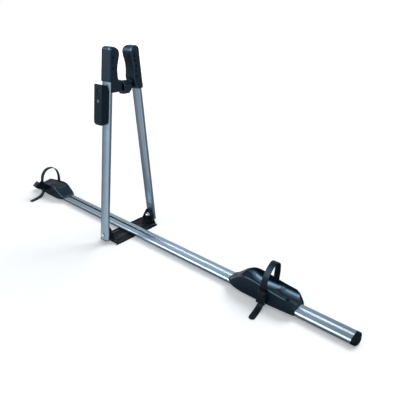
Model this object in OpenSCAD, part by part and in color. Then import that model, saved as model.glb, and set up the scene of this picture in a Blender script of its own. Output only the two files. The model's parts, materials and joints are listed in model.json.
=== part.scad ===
// Roof mounted bike carrier: a slotted aluminium rail on a steel bracket, a pair of
// leaning arms with clamping jaws for the down tube, and two wheel trays with straps.
// +X runs along the rail to its long end, +Y across it, +Z up; z = 0 is the roof bar.
// The origin is midway between the bracket's two roof bar bolt holes.

/* [Rail] */
// Length of the rail
rail_len = 1400; // [1350:10:1450]
// Reach of the rail past the arms, at its long end
rail_reach = 824; // [800:2:840]
// Width of the rail
rail_w = 48; // [44:0.5:52]
// Height of the rail
rail_h = 16; // [15:0.5:18]
// Radius of the rail's rounded edges
rail_edge_r = 6.5; // [4:0.5:7]
// Width of the mouth of each slot
slot_mouth = 7.6; // [7:0.2:8.4]
// Width of each slot behind its lips
slot_w = 15; // [14:0.5:17]
// Height of each slot behind its lips
slot_h = 4.6; // [4.4:0.1:4.8]
// Thickness of the slots' lips
slot_lip = 2.2; // [2:0.1:2.4]
// Wall of the rail's side chambers
rail_wall = 2.2; // [1.8:0.1:3]
// Length of the end caps past the rail's ends
cap_len = 17; // [12:0.5:20]

/* [Bracket] */
// Reach of the bracket behind the bolt holes, towards the short end
bracket_back = 41; // [38:1:46]
// Reach of the bracket ahead of the bolt holes
bracket_front = 45; // [40:1:50]
// Distance from the rail's middle to each ear's inner face
ear_y = 93.5; // [90:0.5:94]
// Thickness of the steel of the bracket
steel_t = 3; // [2.5:0.25:3.5]
// Thickness of the rubber pads below the plate
pad_t = 3; // [2:0.5:4]
// Height of the ears above the roof bar
ear_h = 55.5; // [54:0.5:60]
// Distance between the two roof bar bolt holes
bar_hole_gap = 130; // [110:1:136]
// Radius of the roof bar bolt holes
bar_hole_r = 4.3; // [3.3:0.1:5.3]

/* [Arms] */
// Height of the fold axis above the roof bar
pivot_z = 32; // [31:0.5:34]
// Distance from the rail's middle to an arm's axis, at the fold axis
foot_y = 111; // [110:0.5:114]
// Lean of each arm towards the middle, in degrees
lean = 6.15; // [5.9:0.05:6.3]
// Width of an arm's oval tube, along the rail
arm_w = 38; // [36:0.5:40]
// Thickness of an arm's oval tube
arm_t = 18; // [17:0.5:19]
// Wall of an arm's tube
arm_wall = 1.8; // [1.5:0.1:2.2]
// Length of an arm below the fold axis
arm_below = 17; // [14:0.5:19]
// Length of an arm above the fold axis
arm_above = 592; // [588:1:595]
// Radius of the pivot bolts
pivot_r = 4; // [3:0.5:4.5]
// Radius of the bushes that the arms turn on
bush_r = 6.5; // [6:0.25:7.5]

/* [Jaws] */
// Width of a jaw, along the rail
jaw_w = 46; // [45:0.5:48]
// Wall of a jaw outside its arm
jaw_wall = 2.5; // [2:0.1:3]
// Thickness of a jaw's rubber pad
jaw_pad_t = 3; // [2.5:0.25:3.5]
// Width of a jaw's rubber pad
jaw_pad_w = 30; // [26:0.5:32]
// Height of the clamp rod above the roof bar
rod_z = 516; // [514:0.5:517]
// Radius of the clamp rod
rod_r = 4; // [3:0.5:4.5]
// Diameter of the adjusting knob
knob_d = 42; // [40:0.5:45]
// Length of the adjusting knob's grip
knob_len = 29; // [26:0.5:30]

/* [Lever] */
// Width of the clamp lever
lever_w = 36; // [34:0.5:37]
// Depth of the clamp lever from the arm outwards
lever_depth = 26; // [25:0.5:28]
// Length of the lever below the clamp rod
lever_below = 105; // [98:1:110]
// Wall of the lever
lever_wall = 3; // [2.5:0.25:3.5]
// Radius of the cross pin that the lever turns on
pin_r = 5.5; // [5:0.25:6]
// Lift of the lever's cam over its turn
cam_lift = 4; // [3:0.25:4]
// Distance from the clamp rod down to the lock
lock_drop = 31; // [26:1:36]
// Radius of the lock cylinder
lock_r = 5.5; // [4.5:0.25:6]

/* [Trays] */
// Length of a tray from its nose to its open end
tray_len = 220; // [210:1:230]
// Half width of a tray at its rim
tray_half = 32.5; // [31.5:0.5:34]
// Height of the near tray's rim above the rail, at its highest
near_rim_h = 43; // [40:0.5:46]
// Height of the far tray's rim above the rail, at its highest
far_rim_h = 35; // [33:0.5:38]
// Wall of a tray at its rim
tray_wall = 3.2; // [2.5:0.1:4]
// Floor of a tray above the rail
tray_floor = 7; // [6.5:0.5:9]
// Distance from the rail's near end to the near tray's nose
near_tray_in = 367; // [357:1:377]
// Distance from the rail's far end to the far tray's nose
far_tray_in = 201; // [191:1:206]
// Radius of the screws that hold a tray to the rail
tray_screw_r = 3; // [2.5:0.25:3.25]

/* [Straps] */
// Width of a strap
strap_w = 18; // [16:0.5:19]
// Thickness of a strap
strap_t = 3; // [2.5:0.25:3]
// Distance from a tray's nose to the middle of its strap
strap_at = 127; // [122:1:132]
// Radius of a buckle's pin
buckle_pin_r = 2; // [1.5:0.1:2.2]

/* [Hidden] */
$fn = 48;
eps = 0.01;
run_gap = 0.05; // running clearance of a shaft in its bore
fit_gap = 0.3; // clearance of a piece that slides or seats
play_gap = 0.35; // play of the right arm on its bush

rail_z0 = pad_t + steel_t;
rail_top = rail_z0 + rail_h;
rail_x0 = rail_reach - rail_len;
near_nose = rail_reach - near_tray_in;
far_nose = rail_x0 + far_tray_in;
chamber_in = slot_w / 2 + 2.2;
chamber_w = rail_w / 2 - rail_wall - chamber_in;
chamber_h = rail_h - 2 * rail_wall;

axis_y = function(z) foot_y - (z - pivot_z) * tan(lean); // an arm's axis at a height
rod_y = axis_y(rod_z);
arm_face = rod_y + arm_t / 2 / cos(lean); // outer face of an arm, at the clamp rod
plate_face = arm_face + 2.4; // face that the cam bears on
cam_reach = 15; // from the cross pin to the cam's face, closed
pin_y = plate_face + cam_reach + 0.2;
head_r = 13.3; // reach of the lever's head from the cross pin, towards the arm when open
open_turn = 60; // turn of the lever, in degrees
sides = [-1, 1];

// Plain shapes, all exact

module rounded(w, h, r) {
    square([w - 2 * r, h], center = true);
    square([w, h - 2 * r], center = true);
    for (x = [-1, 1], y = [-1, 1])
        translate([x * (w / 2 - r), y * (h / 2 - r)]) circle(r);
}

module oval(w, t) {
    square([w - t, t], center = true);
    for (x = [-1, 1]) translate([x * (w - t) / 2, 0]) circle(t / 2);
}

module along_x(len) { // a drawing in (y, z), run along +X
    rotate([90, 0, 90]) linear_extrude(len) children();
}

module along_y(len) { // a drawing in (x, z), run along +Y
    translate([0, len, 0]) rotate([90, 0, 0]) linear_extrude(len) children();
}

module rod_y_axis(r, y0, y1) {
    translate([0, y0, 0]) rotate([-90, 0, 0]) cylinder(r = r, h = y1 - y0);
}

module on_arm(side) { // x along the rail, y outwards, z up the arm, from the fold axis
    flip(side) translate([0, foot_y, pivot_z]) rotate([lean, 0, 0]) children();
}

// A closed solid through a list of sections with equally many points
module loft(sections) {
    n = len(sections[0]);
    m = len(sections);
    skin = [for (i = [0:m - 2], j = [0:n - 1])
        let (a = i * n + j, b = i * n + (j + 1) % n)
        each [[a, b + n, b], [a, a + n, b + n]]];
    first = [for (j = [0:n - 1]) j];
    last = [for (j = [n - 1:-1:0]) (m - 1) * n + j];
    polyhedron([for (s = sections) each s], concat(skin, [first, last]));
}

// A section of a jaw at length s up the arm: a rounded rectangle from t0 to t1
function jaw_ring(s, t0, t1, half, r0, r1) =
    let (corners = [[half - r1, t1 - r1, r1, 0], [-half + r1, t1 - r1, r1, 90],
            [-half + r0, t0 + r0, r0, 180], [half - r0, t0 + r0, r0, 270]])
    [for (c = corners, a = [0:22.5:90])
        [c[0] + c[2] * cos(c[3] + a), c[1] + c[2] * sin(c[3] + a), s]];

// How far a jaw reaches inwards from its arm's axis, by length up the arm
jaw_inner = [[480, 12], [488, 14.5], [496, 18.5], [506, 23], [516, 25], [528, 22.6],
    [549, 20.3], [560, 21], [569, 22.4], [580, 24.6], [592, 26], [600, 25]];
jaw_outer = arm_t / 2 + 0.2 + jaw_wall;
jaw_inner_at = function(s) lookup(s, jaw_inner);
jaw_s0 = jaw_inner[0][0];
jaw_crown = [[605, 2], [608.5, 5], [611, 9.5]]; // length up the arm, and inset there
pad_s0 = 512;
pad_s1 = 597;
left_cut_s = 510; // the left jaw's outer half starts here, above the lever
boss_y = 12; // inner end of the left jaw's boss
boss_w = 26;
boss_z0 = 505;
boss_z1 = 541;
neck_r = 8.5; // the knob's neck, which runs into a recess of the right jaw
neck_y1 = 43;
nut_seat_y = rod_y + 14.4;

// Rail and bracket

module slot_cut(top) { // the drawing of one slot
    lip_z = top ? rail_h / 2 - slot_lip : -rail_h / 2 + slot_lip;
    cave_z = top ? lip_z - slot_h / 2 : lip_z + slot_h / 2;
    translate([0, cave_z]) square([slot_w, slot_h], center = true);
    translate([0, top ? rail_h / 2 : -rail_h / 2])
        square([slot_mouth, 2 * slot_lip + 2 * eps], center = true);
}

module rail_section() {
    difference() {
        rounded(rail_w, rail_h, rail_edge_r);
        slot_cut(true);
        slot_cut(false);
        for (s = sides)
            translate([s * (chamber_in + chamber_w / 2), 0])
                rounded(chamber_w, chamber_h, rail_edge_r - rail_wall);
    }
}

module rail() {
    color("lightsteelblue")
    translate([rail_x0, 0, rail_z0 + rail_h / 2]) along_x(rail_len) rail_section();
}

cap_dome_r = 34; // seen from above
cap_nose_r = 16; // seen from the side
foot_w = 9;

// A domed cap that plugs into the side chambers, with a foot down to the roof bar's level
module rail_cap() {
    intersection() {
        translate([0, 0, rail_z0 + rail_h / 2]) along_x(cap_len)
            rounded(rail_w, rail_h, rail_edge_r);
        translate([cap_len - cap_dome_r, 0, -1]) cylinder(r = cap_dome_r, h = rail_top + 2);
        translate([cap_len - cap_nose_r, -rail_w, rail_z0 + rail_h / 2 - 2])
            rod_y_axis(cap_nose_r, 0, 2 * rail_w);
    }
    translate([-12, -foot_w / 2, 0]) cube([15, foot_w, rail_z0 - 0.2]);
    translate([eps, -foot_w / 2, 1]) cube([3, foot_w, rail_z0 + 2]);
    for (s = sides)
        translate([-10, s * (chamber_in + chamber_w / 2), rail_z0 + rail_h / 2])
            along_x(10 + eps)
                rounded(chamber_w - 2 * fit_gap, chamber_h - 2 * fit_gap,
                    rail_edge_r - rail_wall - fit_gap);
}

module rail_cap_near() {
    color("#15181b") translate([rail_reach, 0, 0]) rail_cap();
}

module rail_cap_far() {
    color("#15181b") translate([rail_x0, 0, 0]) mirror([1, 0, 0]) rail_cap();
}

bracket_len = bracket_back + bracket_front;
screw_r = 3;
screw_head_r = 6;
screw_x = [-28, 18];
bead_x = [-36, -20, 12, 26];

module countersunk(x, r, head, extra) {
    translate([x, 0, pad_t - eps]) cylinder(r1 = head, r2 = r, h = steel_t + 2 * eps);
    translate([x, 0, pad_t]) cylinder(r = r, h = extra);
}

module ear(side) {
    y0 = side > 0 ? ear_y : -ear_y - steel_t;
    translate([0, y0, 0]) difference() {
        along_y(steel_t) {
            polygon([[-bracket_back + 4, pad_t], [bracket_front - 5, pad_t],
                [15, ear_h - 5], [9.5, ear_h], [-6, ear_h], [-11.5, ear_h - 5]]);
        }
        translate([0, 0, pivot_z]) rod_y_axis(pivot_r + 0.1, -1, steel_t + 1);
    }
}

module base_bracket() {
    color("#1b1d20") {
        difference() {
            union() {
                translate([-bracket_back, -ear_y - steel_t, pad_t])
                    cube([bracket_len, 2 * (ear_y + steel_t), steel_t]);
                for (x = [-bracket_back, bracket_front - steel_t])
                    translate([x, -ear_y - steel_t, 0])
                        cube([steel_t, 2 * (ear_y + steel_t), rail_z0]);
                for (x = bead_x, s = sides)
                    intersection() {
                        translate([x, s * 56, rail_z0 - 2.6]) rod_y_axis(4, -25, 25);
                        translate([x - 5, s * 56 - 26, pad_t + 1]) cube([10, 52, 10]);
                    }
            }
            for (x = screw_x) countersunk(x, screw_r + 0.2, screw_head_r + 0.2, 9);
            for (s = sides)
                translate([0, s * bar_hole_gap / 2, -1]) cylinder(r = bar_hole_r, h = 12);
        }
        for (s = sides) ear(s);
    }
}

// Rubber pads between the bracket's flanges, which rest on the roof bar
module bar_pads() {
    color("#101112")
    for (s = sides)
        difference() {
            translate([-bracket_back + steel_t + fit_gap, s > 0 ? 30 : -ear_y, 0])
                cube([bracket_len - 2 * steel_t - 2 * fit_gap, ear_y - 30, pad_t]);
            translate([0, s * bar_hole_gap / 2, -1]) cylinder(r = bar_hole_r, h = 12);
        }
}

nut_gap = 0.3;
slot_nut_h = slot_h - 2 * nut_gap;

module rail_screws() {
    color("silver")
    for (x = screw_x)
        difference() {
            countersunk(x, screw_r, screw_head_r, steel_t + slot_lip + slot_h - 0.6);
            translate([x, 0, pad_t - 1]) cylinder(r = 2, h = 2.6, $fn = 6);
        }
}

module slot_nut(x, z) {
    difference() {
        translate([x - 8, -slot_w / 2 + nut_gap, z]) cube([16, slot_w - 2 * nut_gap, slot_nut_h]);
        translate([x, 0, z - 1]) cylinder(r = screw_r + run_gap, h = slot_nut_h + 2);
    }
}

module rail_slot_nuts() {
    color("gray")
    for (x = screw_x) slot_nut(x, rail_z0 + slot_lip + nut_gap);
}

// The fold pivots: a bolt from outside, turning bushes for the arms, a nut inside the ear

bush_y0 = ear_y + steel_t + 0.3;
flange_y1 = foot_y - arm_t / 2 / cos(lean) - 12.5 * tan(lean) - 0.4;
bush_y1 = foot_y + arm_t / 2 / cos(lean) + 8 * tan(lean) + 0.2;
washer_t = 1.6;

module both_sides() {
    children();
    mirror([0, 1, 0]) children();
}

module pivot_bolts() {
    color("silver") both_sides() translate([0, 0, pivot_z]) {
        rod_y_axis(pivot_r, ear_y - washer_t - 7, bush_y1);
        difference() {
            intersection() {
                rod_y_axis(7.5, bush_y1, bush_y1 + 3);
                translate([0, bush_y1 - 9, 0]) sphere(r = 12);
            }
            translate([0, bush_y1 + 1, 0]) rotate([-90, 0, 0]) cylinder(r = 2.6, h = 4, $fn = 6);
        }
    }
}

module pivot_bushes() {
    color("#202225") both_sides() translate([0, 0, pivot_z]) difference() {
        union() {
            rod_y_axis(12, bush_y0, flange_y1);
            rod_y_axis(bush_r, bush_y0, bush_y1);
        }
        rod_y_axis(pivot_r + run_gap, bush_y0 - 1, bush_y1 + 1);
    }
}

module pivot_washers() {
    color("silver") both_sides() translate([0, 0, pivot_z]) difference() {
        rod_y_axis(9, ear_y - washer_t, ear_y);
        rod_y_axis(pivot_r + 0.2, ear_y - washer_t - 1, ear_y + 1);
    }
}

module pivot_nuts() {
    y1 = ear_y - washer_t;
    color("gainsboro") both_sides() translate([0, 0, pivot_z]) difference() {
        union() {
            translate([0, y1 - 5, 0]) rotate([-90, 0, 0]) cylinder(r = 7.5, h = 5, $fn = 6);
            intersection() {
                translate([0, y1 - 4, 0]) sphere(r = 6.2);
                rod_y_axis(7, y1 - 11, y1 - 4);
            }
        }
        rod_y_axis(pivot_r + run_gap, y1 - 7.3, y1 + 1);
    }
}

// Arms

module arm(side, hole_r, rod_hole_r) {
    difference() {
        on_arm(side) translate([0, 0, -arm_below]) linear_extrude(arm_below + arm_above)
            difference() {
                oval(arm_w, arm_t);
                oval(arm_w - 2 * arm_wall, arm_t - 2 * arm_wall);
            }
        flip(side) {
            translate([0, 0, pivot_z]) rod_y_axis(hole_r, foot_y - 20, foot_y + 20);
            translate([0, 0, rod_z]) rod_y_axis(rod_hole_r, rod_y - 20, rod_y + 20);
        }
        jaw_screw_holes(side);
    }
}

rod_play = 1.2; // room for the rod where the right arm tilts on it

module left_arm() {
    color("lightsteelblue") arm(-1, bush_r + run_gap, rod_r + 0.5);
}

module right_arm() {
    color("lightsteelblue") arm(1, bush_r + play_gap, rod_r + rod_play);
}

// Plugs in the lower ends of the arms
module arm_plug(side) {
    on_arm(side) translate([0, 0, -arm_below]) {
        translate([0, 0, -2.5]) linear_extrude(2.5) oval(arm_w, arm_t);
        linear_extrude(6) oval(arm_w - 2 * arm_wall - 0.2, arm_t - 2 * arm_wall - 0.2);
    }
}

module left_arm_plug() {
    color("#17191c") arm_plug(-1);
}

module right_arm_plug() {
    color("#17191c") arm_plug(1);
}

// Jaws: mouldings over the tops of the arms, hollow inside the arm's oval

module jaw_solid() {
    body = [for (p = jaw_inner) jaw_ring(p[0], -p[1], jaw_outer, jaw_w / 2, 6, 9)];
    last = jaw_inner[len(jaw_inner) - 1][1];
    top = [for (p = jaw_crown)
        jaw_ring(p[0], -last + 1.6 * p[1], jaw_outer - p[1], jaw_w / 2 - p[1], 6, 7)];
    loft(concat(body, top));
}

module pad_shape(proud, deep, s0, s1) {
    steps = concat([s0], [for (p = jaw_inner) if (p[0] > s0 && p[0] < s1) p[0]], [s1]);
    polygon(concat([for (s = steps) [-jaw_inner_at(s) - proud, s]],
        [for (i = [len(steps) - 1:-1:0]) [-jaw_inner_at(steps[i]) + deep, steps[i]]]));
}

module jaw_pad_space(side) {
    on_arm(side) translate([-jaw_pad_w / 2 - 0.2, 0, 0]) along_x(jaw_pad_w + 0.4)
        pad_shape(10, 2, pad_s0 - 0.2, pad_s1 + 0.2);
}

rib_s0 = 515;
rib_pitch = 15.5;

// Triangular pockets between slanting ribs, open on one side of the jaw
module rib_pockets() {
    for (i = [0:4]) {
        s = rib_s0 + i * rib_pitch;
        lean_up = i % 2 == 0;
        translate([-jaw_w / 2 + 6, 0, 0]) along_x(jaw_w)
            polygon(lean_up
                ? [[-11.6, s + 1.5], [-11.6, s + 13.5], [-17.4, s + 3.5]]
                : [[-11.6, s + 4.5], [-17.2, s + 13], [-17.4, s + 1]]);
    }
}

module jaw_blank(side) {
    difference() {
        on_arm(side) scale_x(side) difference() {
            jaw_solid();
            translate([0, 0, jaw_s0 - 1]) linear_extrude(arm_above + 0.4 - jaw_s0 + 1)
                oval(arm_w + 0.4, arm_t + 0.4);
            rib_pockets();
        }
        jaw_pad_space(side);
        flip(side) translate([0, 0, rod_z]) rod_y_axis(rod_r + rod_play, 0, 2 * rod_y);
        jaw_screw_holes(side);
    }
}

module scale_x(side) { // the two mouldings are one, turned round
    if (side < 0) mirror([1, 0, 0]) children(); else children();
}

module flip(side) { // everything for the left arm is drawn on the right and flipped
    if (side < 0) mirror([0, 1, 0]) children(); else children();
}

module left_jaw() {
    color("#16191d") {
        difference() {
            jaw_blank(-1);
            on_arm(-1) translate([-jaw_w, 3, jaw_s0 - 1])
                cube([2 * jaw_w, 20, left_cut_s - jaw_s0 + 1]);
        }
        difference() {
            flip(-1) translate([0, boss_y, (boss_z0 + boss_z1) / 2])
                along_y(rod_y - arm_t / 2 - 3 - boss_y) rounded(boss_w, boss_z1 - boss_z0, 6);
            flip(-1) translate([0, 0, rod_z]) rod_y_axis(rod_r + 0.5, 0, rod_y);
            on_arm(-1) translate([0, 0, jaw_s0 - 1]) linear_extrude(100)
                oval(arm_w + 0.4, arm_t + 0.4);
            jaw_pad_space(-1);
        }
    }
}

module right_jaw() {
    color("#16191d") difference() {
        union() {
            jaw_blank(1);
            translate([0, 0, rod_z]) rod_y_axis(11, rod_y, nut_seat_y);
        }
        translate([0, 0, rod_z]) {
            rod_y_axis(rod_r + rod_play, 0, 2 * rod_y);
            rod_y_axis(neck_r + rod_play, 0, neck_y1 + 1);
        }
        on_arm(1) translate([0, 0, jaw_s0 - 20]) linear_extrude(100)
            oval(arm_w + 0.4, arm_t + 0.4);
    }
}

module jaw_pad(side) {
    on_arm(side) translate([-jaw_pad_w / 2, 0, 0]) along_x(jaw_pad_w)
        pad_shape(jaw_pad_t - 2, 2, pad_s0, pad_s1);
}

module left_jaw_pad() {
    color("#0c0d0e") jaw_pad(-1);
}

module right_jaw_pad() {
    color("#0c0d0e") jaw_pad(1);
}

// Screws through each jaw's side into its arm, on the side with no ribs
module at_jaw_screws(side) {
    on_arm(side) scale_x(side) for (s = [549, 581])
        translate([-jaw_w / 2 - 1.3, 0, s]) children();
}

module jaw_screws(side) {
    at_jaw_screws(side) along_x_rod(1.8, 8, 3.6, 1.3);
}

module jaw_screw_holes(side) {
    at_jaw_screws(side) rotate([0, 90, 0]) cylinder(r = 1.9, h = 9);
}

module along_x_rod(r, len, head_r, head_t) {
    rotate([0, 90, 0]) {
        cylinder(r = head_r, h = head_t);
        cylinder(r = r, h = len);
    }
}

module left_jaw_screws() {
    color("silver") jaw_screws(-1);
}

module right_jaw_screws() {
    color("silver") jaw_screws(1);
}

// Clamp: a rod through both arms, pulled by a cam lever outside the left arm

rod_end = nut_seat_y + 10;

module clamp_rod() {
    color("silver") translate([0, 0, rod_z]) rod_y_axis(rod_r, -pin_y - pin_r - 0.6, rod_end);
}

module cross_pin() {
    color("silver") difference() {
        translate([-lever_w / 2 + 1.6, -pin_y, rod_z]) rotate([0, 90, 0])
            cylinder(r = pin_r, h = lever_w - 3.2);
        translate([0, 0, rod_z]) rod_y_axis(rod_r + run_gap, -pin_y - 10, -pin_y + 10);
    }
}

module rod_washer() {
    color("silver") translate([0, 0, rod_z]) difference() {
        rod_y_axis(9, nut_seat_y + fit_gap, nut_seat_y + fit_gap + washer_t);
        rod_y_axis(rod_r + 0.2, nut_seat_y, nut_seat_y + 4);
    }
}

module rod_nut() {
    y0 = nut_seat_y + fit_gap + washer_t;
    color("silver") translate([0, 0, rod_z]) difference() {
        translate([0, y0, 0]) rotate([-90, 0, 0]) cylinder(r = 7.5, h = 6.5, $fn = 6);
        rod_y_axis(rod_r + run_gap, y0 - 1, y0 + 8);
    }
}

knob_y0 = -7;
knob_y1 = knob_y0 + knob_len;
insert_r = 7;
knob_lobes = 8;

module adjusting_knob() {
    r = knob_d / 2;
    color("#1a1d21") translate([0, 0, rod_z]) difference() {
        union() {
            intersection() {
                rod_y_axis(r, knob_y0, knob_y1);
                translate([0, (knob_y0 + knob_y1) / 2, 0]) sphere(r = r + 2.2, $fn = 64);
            }
            rod_y_axis(neck_r, knob_y1 - 1, neck_y1);
        }
        for (i = [0:knob_lobes - 1])
            rotate([0, 360 / knob_lobes * (i + 0.5), 0])
                translate([r + 4.5, 0, 0]) rod_y_axis(7, knob_y0 - 1, knob_y1 + 1);
        rod_y_axis(rod_r + run_gap, knob_y0 - 1, neck_y1 + 1);
        rod_y_axis(insert_r + run_gap, knob_y0 - 1, knob_y0 + 14);
    }
}

module knob_insert() {
    color("goldenrod") translate([0, 0, rod_z]) difference() {
        rod_y_axis(insert_r, knob_y0, knob_y0 + 13.8);
        rod_y_axis(rod_r + run_gap, knob_y0 - 1, knob_y0 + 15);
    }
}

// The wedge on the left arm that the cam bears on, upright where the arm leans
wedge_w = 20;
wedge_up = 14;
wedge_down = 12;

module cam_plate() {
    color("#26292d") flip(-1) difference() {
        intersection() {
            translate([-wedge_w / 2, 0, rod_z - wedge_down])
                cube([wedge_w, plate_face, wedge_down + wedge_up]);
            on_arm(1) translate([-wedge_w / 2, arm_t / 2 + 0.1, 300])
                cube([wedge_w, 20, 300]);
        }
        translate([0, 0, rod_z]) rod_y_axis(rod_r + 0.5, 0, 2 * rod_y);
    }
}

// The same points in the arm's own frame
pin_t = (pin_y - foot_y) * cos(lean) + (rod_z - pivot_z) * sin(lean);
pin_s = (foot_y - pin_y) * sin(lean) + (rod_z - pivot_z) * cos(lean);
lever_t0 = arm_t / 2 + 1.3;
lever_t1 = lever_t0 + lever_depth;
lever_s0 = pin_s - lever_below;
lever_s1 = pin_s + (head_r + (lever_t1 - pin_t) / 2) / cos(30);
lock_s = pin_s - lock_drop;

module lock_keeper() {
    base_t = arm_t / 2 + 0.1;
    color("gray") on_arm(-1) for (x = [-1, 1]) {
        translate([x > 0 ? 8.4 : -11, base_t, lock_s - 5]) cube([2.6, 13.2, 10]);
        translate([x > 0 ? 6.2 : -11, base_t + 11.4, lock_s - 5]) cube([4.8, 1.8, 10]);
        translate([x > 0 ? 0 : -11, base_t, lock_s - 5]) cube([11, 1.2, 10]);
    }
}

// Side view of the lever in (t, s): round towards the arm, then sloping up outwards, so
// that the head clears the arm over the whole turn
module lever_side(inset) {
    r0 = pin_t - lever_t0;
    head = [for (a = [0:10:60])
        let (r = r0 - (r0 - head_r) * sin(1.5 * a) - inset)
        [pin_t - r * cos(a), pin_s + r * sin(a)]];
    t1 = lever_t1 - inset;
    s0 = lever_s0 + inset;
    s1 = pin_s + (head_r - inset + (t1 - 5 - pin_t) / 2) / cos(30);
    outer = [[t1 - 5, s1], [t1 - 2.2, s1 + 0.4], [t1 - 0.5, s1 - 1.4], [t1, s1 - 4]];
    tip = [for (a = [0:-15:-90]) [t1 - 8 + 8 * cos(a), s0 + 8 + 8 * sin(a)]];
    finger = [[lever_t0 + 9 + inset, s0], [lever_t0 + 5 + inset, s0 + 8],
        [lever_t0 + 2.2 + inset, s0 + 22], [lever_t0 + inset, s0 + 42]];
    polygon(concat(head, outer, tip, finger));
}

module lever_front() {
    w = lever_w / 2;
    corner = 13;
    polygon(concat(
        [for (a = [0:15:90]) [w - 3 + 3 * cos(a), lever_s1 - 3 + 3 * sin(a)]],
        [for (a = [90:15:180]) [-w + 3 + 3 * cos(a), lever_s1 - 3 + 3 * sin(a)]],
        [for (a = [180:10:270])
            [-w + corner + corner * cos(a), lever_s0 + corner + corner * sin(a)]],
        [for (a = [270:10:360])
            [w - corner + corner * cos(a), lever_s0 + corner + corner * sin(a)]]));
}

// The cam's outline in (y outwards, z) from the pin: its lift is even over the turn
function cam_outline() =
    let (rate = cam_lift / open_turn, slope = -rate * 180 / PI)
    concat([for (a = [-6:6:66])
        let (h = cam_reach - rate * a)
        [-h * cos(a) + slope * sin(a), h * sin(a) + slope * cos(a)]],
    [[0, 12.5], [lever_t1 - lever_wall - pin_t, 6],
        [lever_t1 - lever_wall - pin_t, -9], [-6, -11], [-cam_reach + 1, -7]]);

// The wedge's sweep past the lever's head as the lever turns, from the pin: the head's
// wall is open here
function wedge_sweep() =
    let (rate = cam_lift / open_turn, slope = -rate * 180 / PI, h0 = cam_reach - 0.15,
        h1 = h0 - cam_lift, along = wedge_up + 0.5)
    concat([[-h0, -wedge_down - 0.5]],
    [for (a = [0:6:60])
        let (h = h0 - rate * a)
        [-h * cos(a) + slope * sin(a), h * sin(a) + slope * cos(a)]],
    [[-h1 * cos(60) + along * sin(60), h1 * sin(60) + along * cos(60)],
        [-(h1 + 25) * cos(60) + along * sin(60), (h1 + 25) * sin(60) + along * cos(60)],
        [-45, 38], [-45, -wedge_down - 0.5]]);

module clamp_lever() {
    inner_w = lever_w - 2 * lever_wall;
    color("#16191d") flip(-1) difference() {
        union() {
            difference() {
              on_arm(1) difference() {
                intersection() {
                    translate([-lever_w / 2, 0, 0]) along_x(lever_w) lever_side(0);
                    translate([0, lever_t0 - 1, 0]) along_y(lever_depth + 2) lever_front();
                }
                translate([-inner_w / 2, 0, 0]) along_x(inner_w) difference() {
                    lever_side(lever_wall);
                    translate([lever_t1 - lever_wall, 0]) square([20, 2000]);
                }
                translate([-inner_w / 2, lever_t0 - 2, lever_s0 + lever_wall + 9])
                    cube([inner_w, 8, lever_below + 2]);
              }
              translate([-wedge_w / 2 - 0.6, pin_y, rod_z]) along_x(wedge_w + 1.2)
                  polygon(wedge_sweep());
            }
            for (x = [-1, 1])
                translate([x > 0 ? rod_r + 1.5 : -inner_w / 2 - 0.5, pin_y, rod_z])
                    along_x(inner_w / 2 + 0.5 - rod_r - 1.5) polygon(cam_outline());
            on_arm(1) translate([0, 0, lock_s])
                rod_y_axis(lock_r + 2.5, pin_t - 1, lever_t1 - lever_wall + 0.5);
        }
        on_arm(1) {
            translate([-rod_r - 1.2, lever_t0 - 1, pin_s])
                cube([2 * rod_r + 2.4, pin_t - lever_t0 + 1 + rod_r + 1.2, 40]);
            translate([0, 0, lock_s]) rod_y_axis(lock_r + run_gap, lever_t0, lever_t1 + 1);
        }
        translate([-lever_w / 2 + 1.4, pin_y, rod_z]) rotate([0, 90, 0])
            cylinder(r = pin_r + run_gap, h = lever_w - 2.8);
        translate([0, 0, rod_z]) rod_y_axis(rod_r + 1, pin_y, pin_y + 20);
    }
}

tongue_t1 = arm_t / 2 + 11.2;

module lock_cylinder() {
    color("gainsboro") on_arm(-1) difference() {
        translate([0, 0, lock_s]) rod_y_axis(lock_r, tongue_t1 + 0.02, lever_t1 - 0.6);
        translate([-0.9, lever_t1 - 6, lock_s - 3.5]) cube([1.8, 7, 7]);
    }
}

module lock_tongue() {
    color("gray") on_arm(-1) translate([-2.5, tongue_t1 - 2, lock_s - 8]) cube([5, 2, 16]);
}

// Trays: one moulding, used twice; x runs from the nose to the open end

// Height of the rim as a share of its full height, by distance from the nose
near_rim = [[0, 0.02], [6, 0.05], [15, 0.19], [25, 0.4], [35, 0.61], [45, 0.76], [55, 0.9],
    [66, 0.98], [77, 1], [95, 0.97], [112, 0.92], [130, 0.85], [150, 0.79], [172, 0.74],
    [195, 0.71], [230, 0.69]];
far_rim = [[0, 0.03], [6, 0.06], [15, 0.16], [25, 0.34], [35, 0.52], [45, 0.7], [55, 0.87],
    [66, 0.98], [77, 1], [95, 0.97], [112, 0.92], [130, 0.83], [150, 0.75], [172, 0.66],
    [195, 0.58], [230, 0.5]];
rim_z = function(x, near) rail_top
    + (near ? near_rim_h * lookup(x, near_rim) : far_rim_h * lookup(x, far_rim));
skirt_z = function(x) lookup(x, [[0, 17], [12, 13], [30, 9], [60, 6], [110, 6],
    [170, 9], [200, 13], [230, 19]]);
side_y = function(x) tray_half - lookup(x, [[0, 12], [6, 7], [15, 3], [25, 1.4], [35, 0.7],
    [55, 0]]);
trough_y = function(x) (tray_half - tray_wall) * lookup(x, [[42, 0.3], [46, 0.62],
    [52, 0.86], [60, 0.97], [70, 1]]);
trough_z = function(x) rail_top + tray_floor + lookup(x, [[42, 19], [52, 14], [62, 9],
    [75, 4.5], [90, 2], [110, 0], [138, 0.5], [152, 4], [168, 0.5], [230, 0]]);

function mirrored(half) = concat(half, [for (i = [len(half) - 1:-1:0]) [-half[i][0], half[i][1]]]);

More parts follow.
